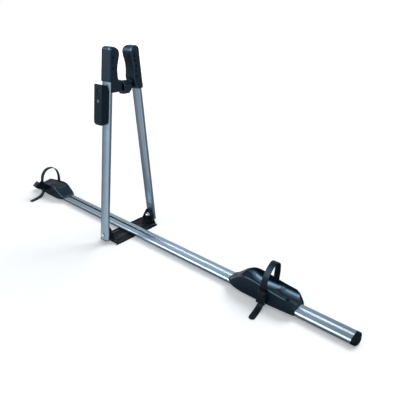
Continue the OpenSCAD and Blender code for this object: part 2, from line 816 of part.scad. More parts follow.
function tray_ring(x, near) =
    let (z0 = skirt_z(x), z1 = rim_z(x, near), w = side_y(x), zm = (z0 + z1) / 2,
        half = [[w - 3, z0], [w - 0.6, zm], [w, z1 - 3], [w - 0.9, z1 - 0.9], [w - 3, z1]])
    [for (p = mirrored(half)) [x, p[0], p[1]]];

function trough_ring(x, near) =
    let (z0 = trough_z(x), z1 = rim_z(x, near) + 3, w = trough_y(x),
        half = [for (a = [90:-15:0])
            [w * pow(cos(a), 0.55), z1 - (z1 - z0) * pow(sin(a), 0.8)]])
    [for (p = concat(half, [for (i = [len(half) - 1:-1:1]) [-half[i][0], half[i][1]]]))
        [x, p[0], p[1]]];

tray_stations = [0, 6, 15, 25, 35, 45, 55, 66, 77, 95, 112, 130, 150, 172, 195, 215];
trough_stations = [42, 46, 52, 60, 70, 82, 95, 110, 138, 145, 152, 160, 168, 195, 215];
tray_screw_x = [98, 184];

module tray(near) {
    stations = concat(tray_stations, [tray_len + 4]);
    basin = concat(trough_stations, [tray_len + 8]);
    rim_end = rim_z(195, near);
    difference() {
        union() {
            difference() {
                loft([for (x = stations) tray_ring(x, near)]);
                translate([-5, -rail_w / 2 - fit_gap, -1])
                    cube([tray_len + 20, rail_w + 2 * fit_gap, rail_top + fit_gap + 1]);
            }
            translate([2, -slot_mouth / 2 + 0.4, rail_top - slot_lip])
                cube([14, slot_mouth - 0.8, slot_lip + 0.8]);
        }
        loft([for (x = basin) trough_ring(x, near)]);
        translate([0, -50, 0]) along_y(100)
            polygon([[tray_len - 30, 99], [tray_len - 28, rim_end], [tray_len - 18, rim_end - 8],
                [tray_len - 9, rim_end - 20], [tray_len - 2.5, rail_top],
                [tray_len, skirt_z(tray_len) - 1], [tray_len, -5], [tray_len + 40, -5],
                [tray_len + 40, 99]]);
        for (x = tray_screw_x) translate([x, 0, 0]) {
            cylinder(r = tray_screw_r + 0.3, h = 60);
            translate([0, 0, screw_seat]) cylinder(r = 2 * tray_screw_r + 0.3, h = 30);
        }
        translate([strap_at, 0, rivet_z]) rod_y_axis(rivet_r + 0.1, 0, 50);
    }
}

screw_seat = rail_top + tray_floor - 2.6;
rivet_z = rail_top + 16;
rivet_r = 2.5;

module at_tray(near) {
    if (near) translate([near_nose, 0, 0]) children();
    else translate([far_nose, 0, 0]) mirror([1, 0, 0]) children();
}

module near_tray() {
    color("#14171b") at_tray(true) tray(true);
}

module far_tray() {
    color("#14171b") at_tray(false) tray(false);
}

module tray_screws() {
    z0 = rail_top - slot_lip - slot_h + 0.5;
    for (x = tray_screw_x) translate([x, 0, 0]) difference() {
        union() {
            translate([0, 0, z0]) cylinder(r = tray_screw_r, h = screw_seat - z0);
            translate([0, 0, screw_seat]) cylinder(r = 2 * tray_screw_r - 0.2, h = 2.4);
        }
        translate([0, 0, screw_seat + 0.8]) cylinder(r = 2.2, h = 3, $fn = 6);
    }
}

module near_tray_screws() {
    color("silver") at_tray(true) tray_screws();
}

module far_tray_screws() {
    color("silver") at_tray(false) tray_screws();
}

module tray_nuts() {
    for (x = tray_screw_x) slot_nut(x, rail_top - slot_lip - slot_h + nut_gap);
}

module near_slot_nuts() {
    color("gray") at_tray(true) tray_nuts();
}

module far_slot_nuts() {
    color("gray") at_tray(false) tray_nuts();
}

// Straps: moulded ribbons, riveted to the back wall, over the wheel and down the front

strap_y = tray_half + 0.5 + strap_t / 2;
near_path = [[strap_y, 30], [strap_y, 50], [strap_y + 1, 72], [strap_y + 0.5, 92], [31, 107],
    [20.5, 116.5], [8, 119.5], [-5, 114.5], [-17.5, 104.5], [-28.5, 91], [-35, 76.5],
    [-37.8, 61], [-37.8, 41], [-37.8, 23], [-40.5, 12.5], [-50, 6.4], [-62, 3.4], [-78, 2],
    [-103, 1.7]];
far_path = [[strap_y, 30], [strap_y, 50], [strap_y + 0.5, 70], [32, 88], [24, 105],
    [12, 114.5], [-2, 117.5], [-16, 115.5], [-28, 108], [-37, 96.5], [-42, 83], [-44, 68],
    [-44, 52], [-44, 36], [-45, 24], [-50, 13], [-60, 6.4], [-74, 3.2], [-92, 2], [-117, 1.7]];

function spline(p0, p1, p2, p3, t) = 0.5 * (2 * p1 + (p2 - p0) * t
    + (2 * p0 - 5 * p1 + 4 * p2 - p3) * t * t + (3 * p1 - p0 - 3 * p2 + p3) * t * t * t);

function smooth(path, steps) =
    let (n = len(path) - 1)
    concat([for (i = [0:n - 1], k = [0:steps - 1])
        spline(path[max(i - 1, 0)], path[i], path[i + 1], path[min(i + 2, n)], k / steps)],
        [path[n]]);

function edge(line, off) = [for (i = [0:len(line) - 1])
    let (a = line[max(i - 1, 0)], b = line[min(i + 1, len(line) - 1)], d = (b - a) / norm(b - a))
    line[i] + off * [-d[1], d[0]]];

module band(line) {
    inner = edge(line, strap_t / 2);
    outer = edge(line, -strap_t / 2);
    n = len(outer) - 1;
    translate([-strap_w / 2, 0, 0]) along_x(strap_w)
        polygon(concat(inner, [for (i = [n:-1:0]) outer[i]]));
}

// The loop is flat in its own plane; from point k on, the tail turns aside in three steps
module strap(path, k, turn) {
    line = smooth(path, 4);
    n = len(line) - 1;
    difference() {
        translate([strap_at, 0, 0]) {
            band([for (i = [0:4 * k + 1]) line[i]]);
            translate([0, path[k][0], 0]) for (j = [1:3])
                rotate([0, 0, turn * j / 3]) translate([0, -path[k][0], 0])
                    band([for (i = [4 * k + 2 * j - 2:j < 3 ? 4 * k + 2 * j + 1 : n]) line[i]]);
        }
        translate([strap_at, 0, rivet_z]) rod_y_axis(rivet_r + 0.1, 20, 50);
    }
}

module near_strap() {
    color("#1c2024") at_tray(true) strap(near_path, 14, 7);
}

module far_strap() {
    color("#1c2024") at_tray(false) strap(far_path, 15, -12);
}

module strap_rivet() {
    translate([strap_at, 0, rivet_z]) {
        rod_y_axis(rivet_r, tray_half - tray_wall - 1, strap_y + strap_t / 2 + 0.1);
        intersection() {
            rod_y_axis(5, strap_y + strap_t / 2 + 0.1, strap_y + strap_t / 2 + 2.4);
            translate([0, strap_y - 6.5, 0]) sphere(r = 10.5);
        }
    }
}

module near_strap_rivet() {
    color("silver") at_tray(true) strap_rivet();
}

module far_strap_rivet() {
    color("silver") at_tray(false) strap_rivet();
}

// Buckles: [place of the strap's middle, height of the pin, tilt of the lever at rest,
// how much thicker the lever's grip is on each side]
near_buckle_at = [-37.8, 18, 0, 0];
far_buckle_at = [-44, 36, 38, 8.5];
cheek_in = strap_w / 2 + 0.6;
cheek_out = cheek_in + 2.5;
pin_off = 6.2;
lever_len = 33;

module buckle(at, base_h) {
    y = at[0];
    z = at[1];
    base_y = -tray_half - 0.4;
    difference() {
        union() {
            translate([strap_at - cheek_out, y + strap_t / 2 + fit_gap, z - 6])
                cube([2 * cheek_out, base_y - y - strap_t / 2 - fit_gap, base_h]);
            for (x = [-cheek_out, cheek_in])
                translate([strap_at + x, 0, 0]) along_x(cheek_out - cheek_in)
                    polygon([[y + strap_t / 2 + 1, z - 6], [y + strap_t / 2 + 1, z + 30],
                        [y - 4, z + 30], [y - 11, z + 12], [y - 11, z - 3], [y - 8, z - 6]]);
        }
        translate([strap_at - 30, y - pin_off, z]) rotate([0, 90, 0])
            cylinder(r = buckle_pin_r + 0.02, h = 60);
    }
}

module buckle_pin(at) {
    translate([strap_at - cheek_out - 0.8, at[0] - pin_off, at[1]]) rotate([0, 90, 0])
        cylinder(r = buckle_pin_r, h = 2 * cheek_out + 1.6);
}

module buckle_lever(at) {
    grip = at[3];
    translate([strap_at, at[0] - pin_off, at[1]]) rotate([at[2], 0, 0]) difference() {
        union() {
            translate([-cheek_in + 0.3, 0, 0]) along_x(2 * cheek_in - 0.6)
                polygon(concat([for (a = [0:-20:-160]) [3.9 * cos(a), 3.9 * sin(a)]],
                    [[-4.4, 4], [-5 - grip, 22], [-4 - grip, 30], [3.4 + grip, 30],
                    [3.4 + grip, 24], [3.8, 10]]));
            translate([-cheek_out, 0, 0]) along_x(2 * cheek_out)
                polygon([[-3.4 - grip, 30.6], [-5 - grip, lever_len],
                    [-4 - grip, lever_len + 3.5], [3 + grip, lever_len + 3.5],
                    [3.6 + grip, 30.6]]);
            translate([-cheek_in + 0.3, 0, 0]) along_x(2 * cheek_in - 0.6)
                polygon([[-3.6 - grip, 29], [-3.6 - grip, 31], [3.4 + grip, 31],
                    [3.4 + grip, 29]]);
        }
        translate([-30, 0, 0]) rotate([0, 90, 0])
            cylinder(r = buckle_pin_r + run_gap, h = 60);
    }
}

module near_buckle() {
    color("#15181c") at_tray(true) buckle(near_buckle_at, 38);
}

module far_buckle() {
    color("#15181c") at_tray(false) buckle(far_buckle_at, 26);
}

module near_buckle_pin() {
    color("silver") at_tray(true) buckle_pin(near_buckle_at);
}

module far_buckle_pin() {
    color("silver") at_tray(false) buckle_pin(far_buckle_at);
}

module near_buckle_lever() {
    color("#1b1f24") at_tray(true) buckle_lever(near_buckle_at);
}

module far_buckle_lever() {
    color("#1b1f24") at_tray(false) buckle_lever(far_buckle_at);
}

rail();
rail_cap_near();
rail_cap_far();
base_bracket();
bar_pads();
rail_screws();
rail_slot_nuts();
pivot_bolts();
pivot_bushes();
pivot_washers();
pivot_nuts();
left_arm();
right_arm();
left_arm_plug();
right_arm_plug();
left_jaw();
right_jaw();
left_jaw_pad();
right_jaw_pad();
left_jaw_screws();
right_jaw_screws();
cam_plate();
lock_keeper();
clamp_rod();
cross_pin();
rod_nut();
rod_washer();
adjusting_knob();
knob_insert();
clamp_lever();
lock_cylinder();
lock_tongue();
near_tray();
far_tray();
near_tray_screws();
far_tray_screws();
near_slot_nuts();
far_slot_nuts();
near_strap();
far_strap();
near_strap_rivet();
far_strap_rivet();
near_buckle();
far_buckle();
near_buckle_pin();
far_buckle_pin();
near_buckle_lever();
far_buckle_lever();
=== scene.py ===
# Roof mounted bike carrier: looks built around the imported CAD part.
# Lengths in the pieces' dictionaries are millimetres in the part's frame. Meshes, the stage
# and the camera are in metres. Angles in the dictionaries are degrees.
import json
from math import cos, pi, radians, sin

import bmesh
import bpy
import numpy as np
from mathutils import Matrix, Vector


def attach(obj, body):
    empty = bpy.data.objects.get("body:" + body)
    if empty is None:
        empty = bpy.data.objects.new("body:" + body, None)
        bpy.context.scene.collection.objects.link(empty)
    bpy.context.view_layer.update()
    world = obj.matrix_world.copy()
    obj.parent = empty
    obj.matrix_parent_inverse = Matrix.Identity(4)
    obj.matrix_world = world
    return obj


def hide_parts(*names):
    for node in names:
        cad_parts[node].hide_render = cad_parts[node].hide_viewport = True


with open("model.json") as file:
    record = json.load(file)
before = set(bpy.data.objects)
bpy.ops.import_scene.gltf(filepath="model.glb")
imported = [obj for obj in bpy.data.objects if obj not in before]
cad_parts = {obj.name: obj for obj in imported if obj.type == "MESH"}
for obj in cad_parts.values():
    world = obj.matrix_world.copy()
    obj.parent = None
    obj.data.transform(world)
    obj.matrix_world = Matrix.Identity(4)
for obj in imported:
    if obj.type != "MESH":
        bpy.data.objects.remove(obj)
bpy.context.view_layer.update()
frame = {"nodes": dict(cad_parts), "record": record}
nodes = frame["nodes"]
bodyOf = {}
for bodyName, members in frame["record"]["behaviour"]["bodies"].items():
    for member in members:
        bodyOf[member] = bodyName
mm = 0.001
# in metres, how near points are that are merged; in degrees, how little one flat face turns
mergeWithin = 2e-6
flatWithin = 0.5


# Helpers


def smoothStep(low, high, value):
    t = np.clip((np.asarray(value, float) - low) / (high - low), 0.0, 1.0)
    return t * t * (3.0 - 2.0 * t)


def throughTable(value, table):
    # a smooth curve through the table's points that never overshoots them
    x = np.array([row[0] for row in table], float)
    y = np.array([row[1] for row in table], float)
    h = np.diff(x)
    d = np.diff(y) / h
    slope = np.zeros(len(x))
    same = d[:-1] * d[1:] > 0
    w1 = 2 * h[1:] + h[:-1]
    w2 = h[1:] + 2 * h[:-1]
    safe = np.where(same, d[:-1] * d[1:], 1.0)
    slope[1:-1] = np.where(same, (w1 + w2) * safe / (w1 * d[1:] + w2 * d[:-1] + (~same)), 0.0)
    slope[0] = d[0]
    slope[-1] = d[-1]
    v = np.clip(np.asarray(value, float), x[0], x[-1])
    i = np.clip(np.searchsorted(x, v) - 1, 0, len(h) - 1)
    t = (v - x[i]) / h[i]
    return ((1 + 2 * t) * (1 - t) ** 2 * y[i] + t * (1 - t) ** 2 * h[i] * slope[i]
            + t * t * (3 - 2 * t) * y[i + 1] + t * t * (t - 1) * h[i] * slope[i + 1])


def addObject(name, data):
    item = bpy.data.objects.new(name, data)
    bpy.context.scene.collection.objects.link(item)
    return item


def meshFrom(name, points, faces):
    mesh = bpy.data.meshes.new(name)
    mesh.from_pydata((points * mm).tolist(), [], faces)
    mesh.validate()
    return addObject(name, mesh)


def faceOutwards(piece, sharpAngle):
    # one closed shell: merge doubles, turn faces outwards, shade smooth below the angle
    shell = bmesh.new()
    shell.from_mesh(piece.data)
    bmesh.ops.remove_doubles(shell, verts=shell.verts, dist=mergeWithin)
    bmesh.ops.recalc_face_normals(shell, faces=shell.faces)
    shell.to_mesh(piece.data)
    shell.free()
    piece.data.shade_smooth()
    piece.data.set_sharp_from_angle(angle=radians(sharpAngle))
    return piece


def ringFaces(rows, columns):
    # quads between neighbouring rings, each ring closed on itself
    r = np.arange(rows - 1)[:, None]
    c = np.arange(columns)[None, :]
    n = (c + 1) % columns
    quads = np.stack([r * columns + c, r * columns + n,
                      (r + 1) * columns + n, (r + 1) * columns + c], -1)
    return quads.reshape(-1, 4).tolist()


def tubeOf(name, rings, sharpAngle=35):
    # rings: rows x columns x 3; closed round each ring, with a flat face on both ends
    rows, columns = rings.shape[:2]
    faces = ringFaces(rows, columns)
    faces.append(list(range(columns - 1, -1, -1)))
    faces.append([(rows - 1) * columns + k for k in range(columns)])
    return faceOutwards(meshFrom(name, rings.reshape(-1, 3), faces), sharpAngle)


def cornerArc(cx, cy, radius, startTurn, steps):
    a = radians(startTurn) + np.linspace(0, pi / 2, steps)
    return np.stack([cx + radius * np.cos(a), cy + radius * np.sin(a)], -1)


def roundedOutline(halfWidth, low, high, lowRadius, highRadius, steps):
    # a rectangle from low to high with its four corners as quarter circles
    return np.concatenate([
        cornerArc(halfWidth - highRadius, high - highRadius, highRadius, 0, steps),
        cornerArc(-halfWidth + highRadius, high - highRadius, highRadius, 90, steps),
        cornerArc(-halfWidth + lowRadius, low + lowRadius, lowRadius, 180, steps),
        cornerArc(halfWidth - lowRadius, low + lowRadius, lowRadius, 270, steps)])


def finishPiece(piece, materialName, nodeName):
    # the piece stands in for the CAD node, on the same body, with the given material if it has none
    # yet
    if not piece.data.materials:
        piece.data.materials.append(materials[materialName])
    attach(piece, bodyOf[nodeName])
    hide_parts(nodeName)


def softenNode(nodeName, materialName, width=0.4, segments=2, angle=32, sharpAngle=40):
    # a merged copy of the CAD solid with its edges rounded
    source = nodes[nodeName].data.copy()
    if "custom_normal" in source.attributes:
        source.attributes.remove(source.attributes["custom_normal"])
    shell = bmesh.new()
    shell.from_mesh(source)
    bmesh.ops.remove_doubles(shell, verts=shell.verts, dist=mergeWithin)
    bmesh.ops.dissolve_limit(shell, angle_limit=radians(flatWithin), verts=shell.verts,
                             edges=shell.edges)
    mesh = bpy.data.meshes.new(nodeName + "Looks")
    shell.to_mesh(mesh)
    shell.free()
    piece = addObject(nodeName + "Looks", mesh)
    mesh.shade_smooth()
    bevel = piece.modifiers.new("roundedEdges", "BEVEL")
    bevel.width = width * mm
    bevel.segments = segments
    bevel.limit_method = "ANGLE"
    bevel.angle_limit = radians(angle)
    bevel.use_clamp_overlap = True
    bevel.harden_normals = True
    bevel.miter_outer = "MITER_ARC"
    mesh.set_sharp_from_angle(angle=radians(sharpAngle))
    finishPiece(piece, materialName, nodeName)


def carve(piece, cutters, sharpAngle=38):
    # takes the cutters' volumes out of the piece, then drops the cutters
    for number, cutter in enumerate(cutters):
        cut = piece.modifiers.new("cut%d" % number, "BOOLEAN")
        cut.operation = "DIFFERENCE"
        cut.solver = "EXACT"
        cut.object = cutter
    bpy.context.view_layer.update()
    evaluated = piece.evaluated_get(bpy.context.evaluated_depsgraph_get())
    mesh = bpy.data.meshes.new_from_object(evaluated)
    piece.modifiers.clear()
    piece.data = mesh
    for cutter in cutters:
        bpy.data.objects.remove(cutter)
    mesh.shade_smooth()
    mesh.set_sharp_from_angle(angle=radians(sharpAngle))


def roundBar(name, start, end, radius, steps=40):
    # a plain cylinder between two points, used only as a cutter
    start, end = np.array(start, float), np.array(end, float)
    along = (end - start) / np.linalg.norm(end - start)
    slanting = [0.3, 0.5, 0.81]
    side = np.cross(along, slanting)
    side = side / np.linalg.norm(side)
    other = np.cross(along, side)
    a = np.linspace(0, 2 * pi, steps, endpoint=False)[:, None]
    ring = radius * (np.cos(a) * side + np.sin(a) * other)
    return tubeOf(name, np.stack([start + ring, end + ring]))


# Materials


def newMaterial(name):
    material = bpy.data.materials.new(name)
    material.use_nodes = True
    tree = material.node_tree
    return material, tree, tree.nodes["Principled BSDF"]


def addNode(tree, kind, **settings):
    node = tree.nodes.new(kind)
    for key, value in settings.items():
        setattr(node, key, value)
    return node


def setInputs(node, values):
    for key, value in values.items():
        node.inputs[key].default_value = value


def noiseOf(tree, stretch, scale, detail, roughness):
    # a noise in the object's own coordinates, which are stretched along the axes first
    place = addNode(tree, "ShaderNodeTexCoord")
    mapping = addNode(tree, "ShaderNodeMapping")
    setInputs(mapping, {"Scale": stretch})
    tree.links.new(place.outputs["Object"], mapping.inputs["Vector"])
    noise = addNode(tree, "ShaderNodeTexNoise")
    setInputs(noise, {"Scale": scale, "Detail": detail, "Roughness": roughness})
    tree.links.new(mapping.outputs["Vector"], noise.inputs["Vector"])
    return noise.outputs["Fac"]


def rampOf(tree, value, stops):
    ramp = addNode(tree, "ShaderNodeValToRGB")
    while len(ramp.color_ramp.elements) < len(stops):
        ramp.color_ramp.elements.new(0.5)
    for element, (position, colour) in zip(ramp.color_ramp.elements, stops):
        element.position = position
        if not isinstance(colour, (tuple, list)):
            colour = (colour, colour, colour)
        element.color = (*colour, 1.0)
    tree.links.new(value, ramp.inputs["Fac"])
    return ramp.outputs["Color"]


def mixColours(tree, factor, first, second):
    mix = addNode(tree, "ShaderNodeMix", data_type="RGBA")
    for value, socket in ((factor, mix.inputs[0]), (first, mix.inputs[6]), (second, mix.inputs[7])):
        if hasattr(value, "links"):
            tree.links.new(value, socket)
        else:
            socket.default_value = (*value, 1.0)
    return mix.outputs[2]


def bumpFrom(tree, shader, height, strength, distance):
    bump = addNode(tree, "ShaderNodeBump")
    setInputs(bump, {"Strength": strength, "Distance": distance})
    tree.links.new(height, bump.inputs["Height"])
    tree.links.new(bump.outputs["Normal"], shader.inputs["Normal"])


# What the finishes of one kind share. "clouds", "grain" and "marks" give a noise's scale,
# detail and roughness; the stops say where a ramp starts and ends, and roughSpread how far
# the roughness strays from its own value; each Scale stretches a noise along the axes.
plainFinish = {"metallic": 0.0, "specular": 0.5, "tint": (1, 1, 1), "cloudScale": (1, 1, 1),
               "grainScale": (1, 1, 1), "roughFollows": "clouds"}
finishes = {
    "drawn": {"metallic": 1.0, "toneStops": (0.3, 0.7), "roughStops": (0.25, 0.8),
              "roughSpread": (-0.02, 0.03), "marks": (1.0, 2.0, 0.5),
              "markStops": [(0.35, 0.0), (0.75, 0.22)]},
    "plastic": {"clouds": (14.0, 4.0, 0.6), "grain": (1400.0, 2.0, 0.5),
                "toneStops": (0.3, 0.75), "roughStops": (0.25, 0.75),
                "roughSpread": (-0.05, 0.06), "bumpDepth": 0.0001},
    "rubber": {"clouds": (30.0, 5.0, 0.65), "grain": (2200.0, 2.0, 0.6),
               "toneStops": (0.3, 0.8), "roughStops": (0.3, 0.7), "roughSpread": (-0.06, 0.08),
               "roughFollows": "grain", "tint": (0.5, 0.76, 1.0), "bump": 0.35,
               "bumpDepth": 0.00015},
    "powder": {"clouds": (22.0, 5.0, 0.62), "grain": (420.0, 2.0, 0.45),
               "toneStops": (0.35, 0.7), "roughStops": (0.3, 0.8), "roughSpread": (0.0, 0.12),
               "specular": 0.10, "tint": (0.6, 0.8, 1.0), "bump": 0.35, "bumpDepth": 0.0003,
               "marks": (1.0, 3.0, 0.6), "markStops": [(0.50, 0.0), (0.64, 0.8)]},
    "plated": {"metallic": 1.0, "clouds": (90.0, 4.0, 0.6), "grain": (1.0, 2.0, 0.5),
               "grainScale": (900, 60, 900), "toneStops": (0.3, 0.75),
               "roughStops": (0.3, 0.8), "roughSpread": (0.0, 0.1), "bump": 0.08,
               "bumpDepth": 0.0001},
}

looks = {
    "armMetal": {"kind": "drawn", "tones": ((0.285, 0.375, 0.455), (0.32, 0.42, 0.505)),
                 "markColour": (0.37, 0.47, 0.56), "markScale": (260, 260, 2),
                 "clouds": (9.0, 4.0, 0.6), "roughness": 0.30},
    "railMetal": {"kind": "drawn", "tones": ((0.255, 0.345, 0.425), (0.285, 0.38, 0.465)),
                  "markColour": (0.34, 0.44, 0.53), "markScale": (2, 260, 260),
                  "clouds": (5.0, 4.0, 0.6), "roughness": 0.28},
    "moulding": {"kind": "plastic", "tones": ((0.003, 0.007, 0.013), (0.005, 0.012, 0.021)),
                 "roughness": 0.21, "specular": 0.85, "tint": (0.38, 0.67, 1.0), "bump": 0.04},
    "leverPlastic": {"kind": "plastic", "tones": ((0.003, 0.008, 0.014), (0.005, 0.011, 0.019)),
                     "roughness": 0.2, "specular": 0.4, "tint": (0.42, 0.70, 1.0),
                     "bump": 0.04},
    "trayPlastic": {"kind": "plastic", "tones": ((0.006, 0.014, 0.025), (0.009, 0.020, 0.034)),
                    "roughness": 0.19, "specular": 0.55, "tint": (0.46, 0.74, 1.0),
                    "bump": 0.03},
    "plainPlastic": {"kind": "plastic", "tones": ((0.004, 0.007, 0.011), (0.008, 0.012, 0.018)),
                     "roughness": 0.42, "specular": 0.3, "tint": (0.6, 0.8, 1.0), "bump": 0.2},
    "padRubber": {"kind": "rubber", "tones": ((0.003, 0.006, 0.010), (0.007, 0.012, 0.018)),
                  "roughness": 0.6, "specular": 0.25},
    "strapRubber": {"kind": "rubber", "tones": ((0.004, 0.008, 0.014), (0.008, 0.014, 0.022)),
                    "roughness": 0.40, "specular": 0.22},
    "capRubber": {"kind": "rubber", "tones": ((0.002, 0.003, 0.005), (0.004, 0.006, 0.009)),
                  "roughness": 0.5, "specular": 0.1},
    "bracketCoat": {"kind": "powder", "tones": ((0.002, 0.003, 0.004), (0.005, 0.007, 0.010)),
                    "markColour": (0.07, 0.085, 0.10), "markScale": (170, 26, 60),
                    "roughness": 0.42},
    "zincSteel": {"kind": "plated", "tones": ((0.36, 0.40, 0.45), (0.50, 0.54, 0.60)),
                  "roughness": 0.3},
    "blackScrewSteel": {"kind": "plated",
                        "tones": ((0.003, 0.007, 0.013), (0.006, 0.012, 0.021)),
                        "roughness": 0.45, "metallic": 0.0, "specular": 0.12},
    "lockSteel": {"kind": "plated", "tones": ((0.16, 0.18, 0.21), (0.24, 0.27, 0.31)),
                  "roughness": 0.32},
    "brightSteel": {"kind": "plated", "tones": ((0.50, 0.56, 0.63), (0.62, 0.68, 0.75)),
                    "roughness": 0.16},
    "brassMetal": {"kind": "plated", "tones": ((0.52, 0.36, 0.17), (0.68, 0.50, 0.27)),
                   "roughness": 0.28},
}

# painted light in the slot: a painted shade up to the first x, a painted highlight from brightFrom
# on, the plain metal between; the scratches are the metal's own
slotPaintedLight = {"paintedShadeUntil": -20, "brightFrom": 190, "dark": (0.012, 0.016, 0.02),
            "middle": (0.28, 0.34, 0.42), "bright": (0.85, 0.9, 0.96), "metallic": 0.6,
            "roughness": 0.45, "scratchScale": (12, 700, 700), "scratches": (1.0, 3.0, 0.6),
            "scratchStops": [(0.4, 0.0), (0.8, 0.06)]}


def makeFinish(name, look):
    # two tones in soft clouds with marks over them, an uneven roughness and a fine bump
    plan = {**plainFinish, **finishes[look["kind"]], **look}
    material, tree, shader = newMaterial(name)
    clouds = noiseOf(tree, plan["cloudScale"], *plan["clouds"])
    base = rampOf(tree, clouds, list(zip(plan["toneStops"], plan["tones"])))
    if "marks" in plan:
        marks = noiseOf(tree, plan["markScale"], *plan["marks"])
        base = mixColours(tree, rampOf(tree, marks, plan["markStops"]), base,
                          plan["markColour"])
    tree.links.new(base, shader.inputs["Base Color"])
    uneven = clouds
    if "grain" in plan:
        grain = noiseOf(tree, plan["grainScale"], *plan["grain"])
        bumpFrom(tree, shader, grain, plan["bump"], plan["bumpDepth"])
        if plan["roughFollows"] == "grain":
            uneven = grain
    rough = [(stop, plan["roughness"] + stray)
             for stop, stray in zip(plan["roughStops"], plan["roughSpread"])]
    tree.links.new(rampOf(tree, uneven, rough), shader.inputs["Roughness"])
    setInputs(shader, {"Metallic": plan["metallic"], "Specular IOR Level": plan["specular"],
                       "Specular Tint": (*plan["tint"], 1)})
    return material


def makeSlotPaintedLight(name, look):
    # inside the rail's top slot: painted shade on the far side of the bracket, a painted highlight
    # past it
    material, tree, shader = newMaterial(name)
    place = addNode(tree, "ShaderNodeTexCoord")
    split = addNode(tree, "ShaderNodeSeparateXYZ")
    tree.links.new(place.outputs["Object"], split.inputs[0])
    reach = addNode(tree, "ShaderNodeMapRange")
    setInputs(reach, {"From Min": look["paintedShadeUntil"] * mm, "From Max": look["brightFrom"] * mm})
    tree.links.new(split.outputs["X"], reach.inputs["Value"])
    scratches = noiseOf(tree, look["scratchScale"], *look["scratches"])
    colour = rampOf(tree, reach.outputs["Result"],
                    [(0.0, look["dark"]), (0.5, look["middle"]), (1.0, look["bright"])])
    shaded = mixColours(tree, rampOf(tree, scratches, look["scratchStops"]), colour,
                        look["middle"])
    tree.links.new(shaded, shader.inputs["Base Color"])
    setInputs(shader, {"Metallic": look["metallic"], "Roughness": look["roughness"]})
    return material


materials = {name: makeFinish(name, look) for name, look in looks.items()}
materials["slotPaintedLightMetal"] = makeSlotPaintedLight("slotPaintedLightMetal", slotPaintedLight)
print("materials made")


# Rail

railPlan = {"start": -576.0, "end": 824.0, "bottom": 6.0, "width": 48.0, "height": 16.0,
            "edgeRadius": 7.6, "slotMouth": 7.6, "slotWidth": 15.0, "slotHeight": 4.6,
            "lip": 2.2, "lipRound": 1.1, "stations": 57, "edgeSteps": 12, "lipSteps": 4,
            "wallMargin": 0.01, "mouthMargin": 0.4}


def railOutline(plan):
    # the rail's section in (y, z): a rounded bar with a T slot in its top and its bottom
    half, high, r = plan["width"] / 2, plan["height"] / 2, plan["edgeRadius"]
    mouth, cave = plan["slotMouth"] / 2, plan["slotWidth"] / 2
    lip, deep, s = plan["lip"], plan["lip"] + plan["slotHeight"], plan["lipRound"]
    turn = np.linspace(0, pi / 2, plan["lipSteps"])
    leftLip = np.stack([-mouth - s + s * np.sin(turn), high - s * (1 - np.cos(turn))], -1)
    notch = np.concatenate([leftLip, [[-mouth, high - lip], [-cave, high - lip],
                                      [-cave, high - deep], [cave, high - deep],
                                      [cave, high - lip], [mouth, high - lip]],
                            leftLip[::-1] * [-1, 1]])
    # going round with y falling along the top, so the notch is taken from its right end
    steps = plan["edgeSteps"]
    return np.concatenate([cornerArc(half - r, high - r, r, 0, steps), notch[::-1],
                           cornerArc(-half + r, high - r, r, 90, steps),
                           cornerArc(-half + r, -high + r, r, 180, steps), notch * [1, -1],
                           cornerArc(half - r, -high + r, r, 270, steps)])


def makeRail(plan):
    outline = railOutline(plan)
    stations = np.linspace(plan["start"], plan["end"], plan["stations"])
    rings = np.zeros((len(stations), len(outline), 3))
    rings[:, :, 0] = stations[:, None]
    rings[:, :, 1] = outline[None, :, 0]
    rings[:, :, 2] = outline[None, :, 1] + plan["bottom"] + plan["height"] / 2
    piece = tubeOf("railExtrusion", rings, sharpAngle=30)
    piece.data.materials.append(materials["railMetal"])
    # the faces inside the top slot take the finish with painted shade and painted highlight
    piece.data.materials.append(materials["slotPaintedLightMetal"])
    centres = np.zeros(len(piece.data.polygons) * 3)
    piece.data.polygons.foreach_get("center", centres)
    centres = centres.reshape(-1, 3) / mm
    inSlot = ((np.abs(centres[:, 1]) < plan["slotWidth"] / 2 + plan["wallMargin"])
              & (centres[:, 2] < plan["bottom"] + plan["height"] - plan["mouthMargin"])
              & (centres[:, 2] > plan["bottom"] + plan["height"] / 2))
    piece.data.polygons.foreach_set("material_index", inSlot.astype(np.int32))
    finishPiece(piece, "railMetal", "rail")


makeRail(railPlan)
for nodeName in ("rail_cap_near", "rail_cap_far"):
    softenNode(nodeName, "capRubber", 5.0, segments=6, angle=40, sharpAngle=48)
print("rail made")


# Bracket and pivots

softenNode("base_bracket", "bracketCoat", 0.6, 3)
for nodeName, materialName, width in (
        ("bar_pads", "padRubber", 0.4), ("rail_screws", "zincSteel", 0.2),
        ("rail_slot_nuts", "zincSteel", 0.25), ("pivot_bolts", "brightSteel", 0.35),
        ("pivot_bushes", "plainPlastic", 0.3), ("pivot_washers", "zincSteel", 0.2),
        ("pivot_nuts", "brightSteel", 0.35)):
    softenNode(nodeName, materialName, width)
print("bracket and pivots made")


# Arms

armPlan = {"footY": 111.0, "pivotZ": 32.0, "lean": 6.15, "width": 38.0, "thickness": 18.0,
           "below": 17.0, "above": 592.0, "edgeRound": 0.7, "edgeSteps": 4, "levels": 62,
           "squareness": 2.5, "around": 72}
armLean = radians(armPlan["lean"])


def onArm(side, x, outwards, up):
    # from the arm's own frame (x along the rail, outwards, up the arm) to the part's frame
    y = armPlan["footY"] + outwards * cos(armLean) - up * sin(armLean)
    z = armPlan["pivotZ"] + outwards * sin(armLean) + up * cos(armLean)
    return np.stack(np.broadcast_arrays(x, side * y, z), -1)


def ovalOutline(width, thickness, power, steps):
    # an oval with gently crowned faces: |x / half|^p + |t / half|^p = 1
    a = np.linspace(0, 2 * pi, steps, endpoint=False)
    c, s = np.cos(a), np.sin(a)
    return np.stack([width / 2 * np.sign(c) * np.abs(c) ** (2 / power),
                     thickness / 2 * np.sign(s) * np.abs(s) ** (2 / power)], -1)


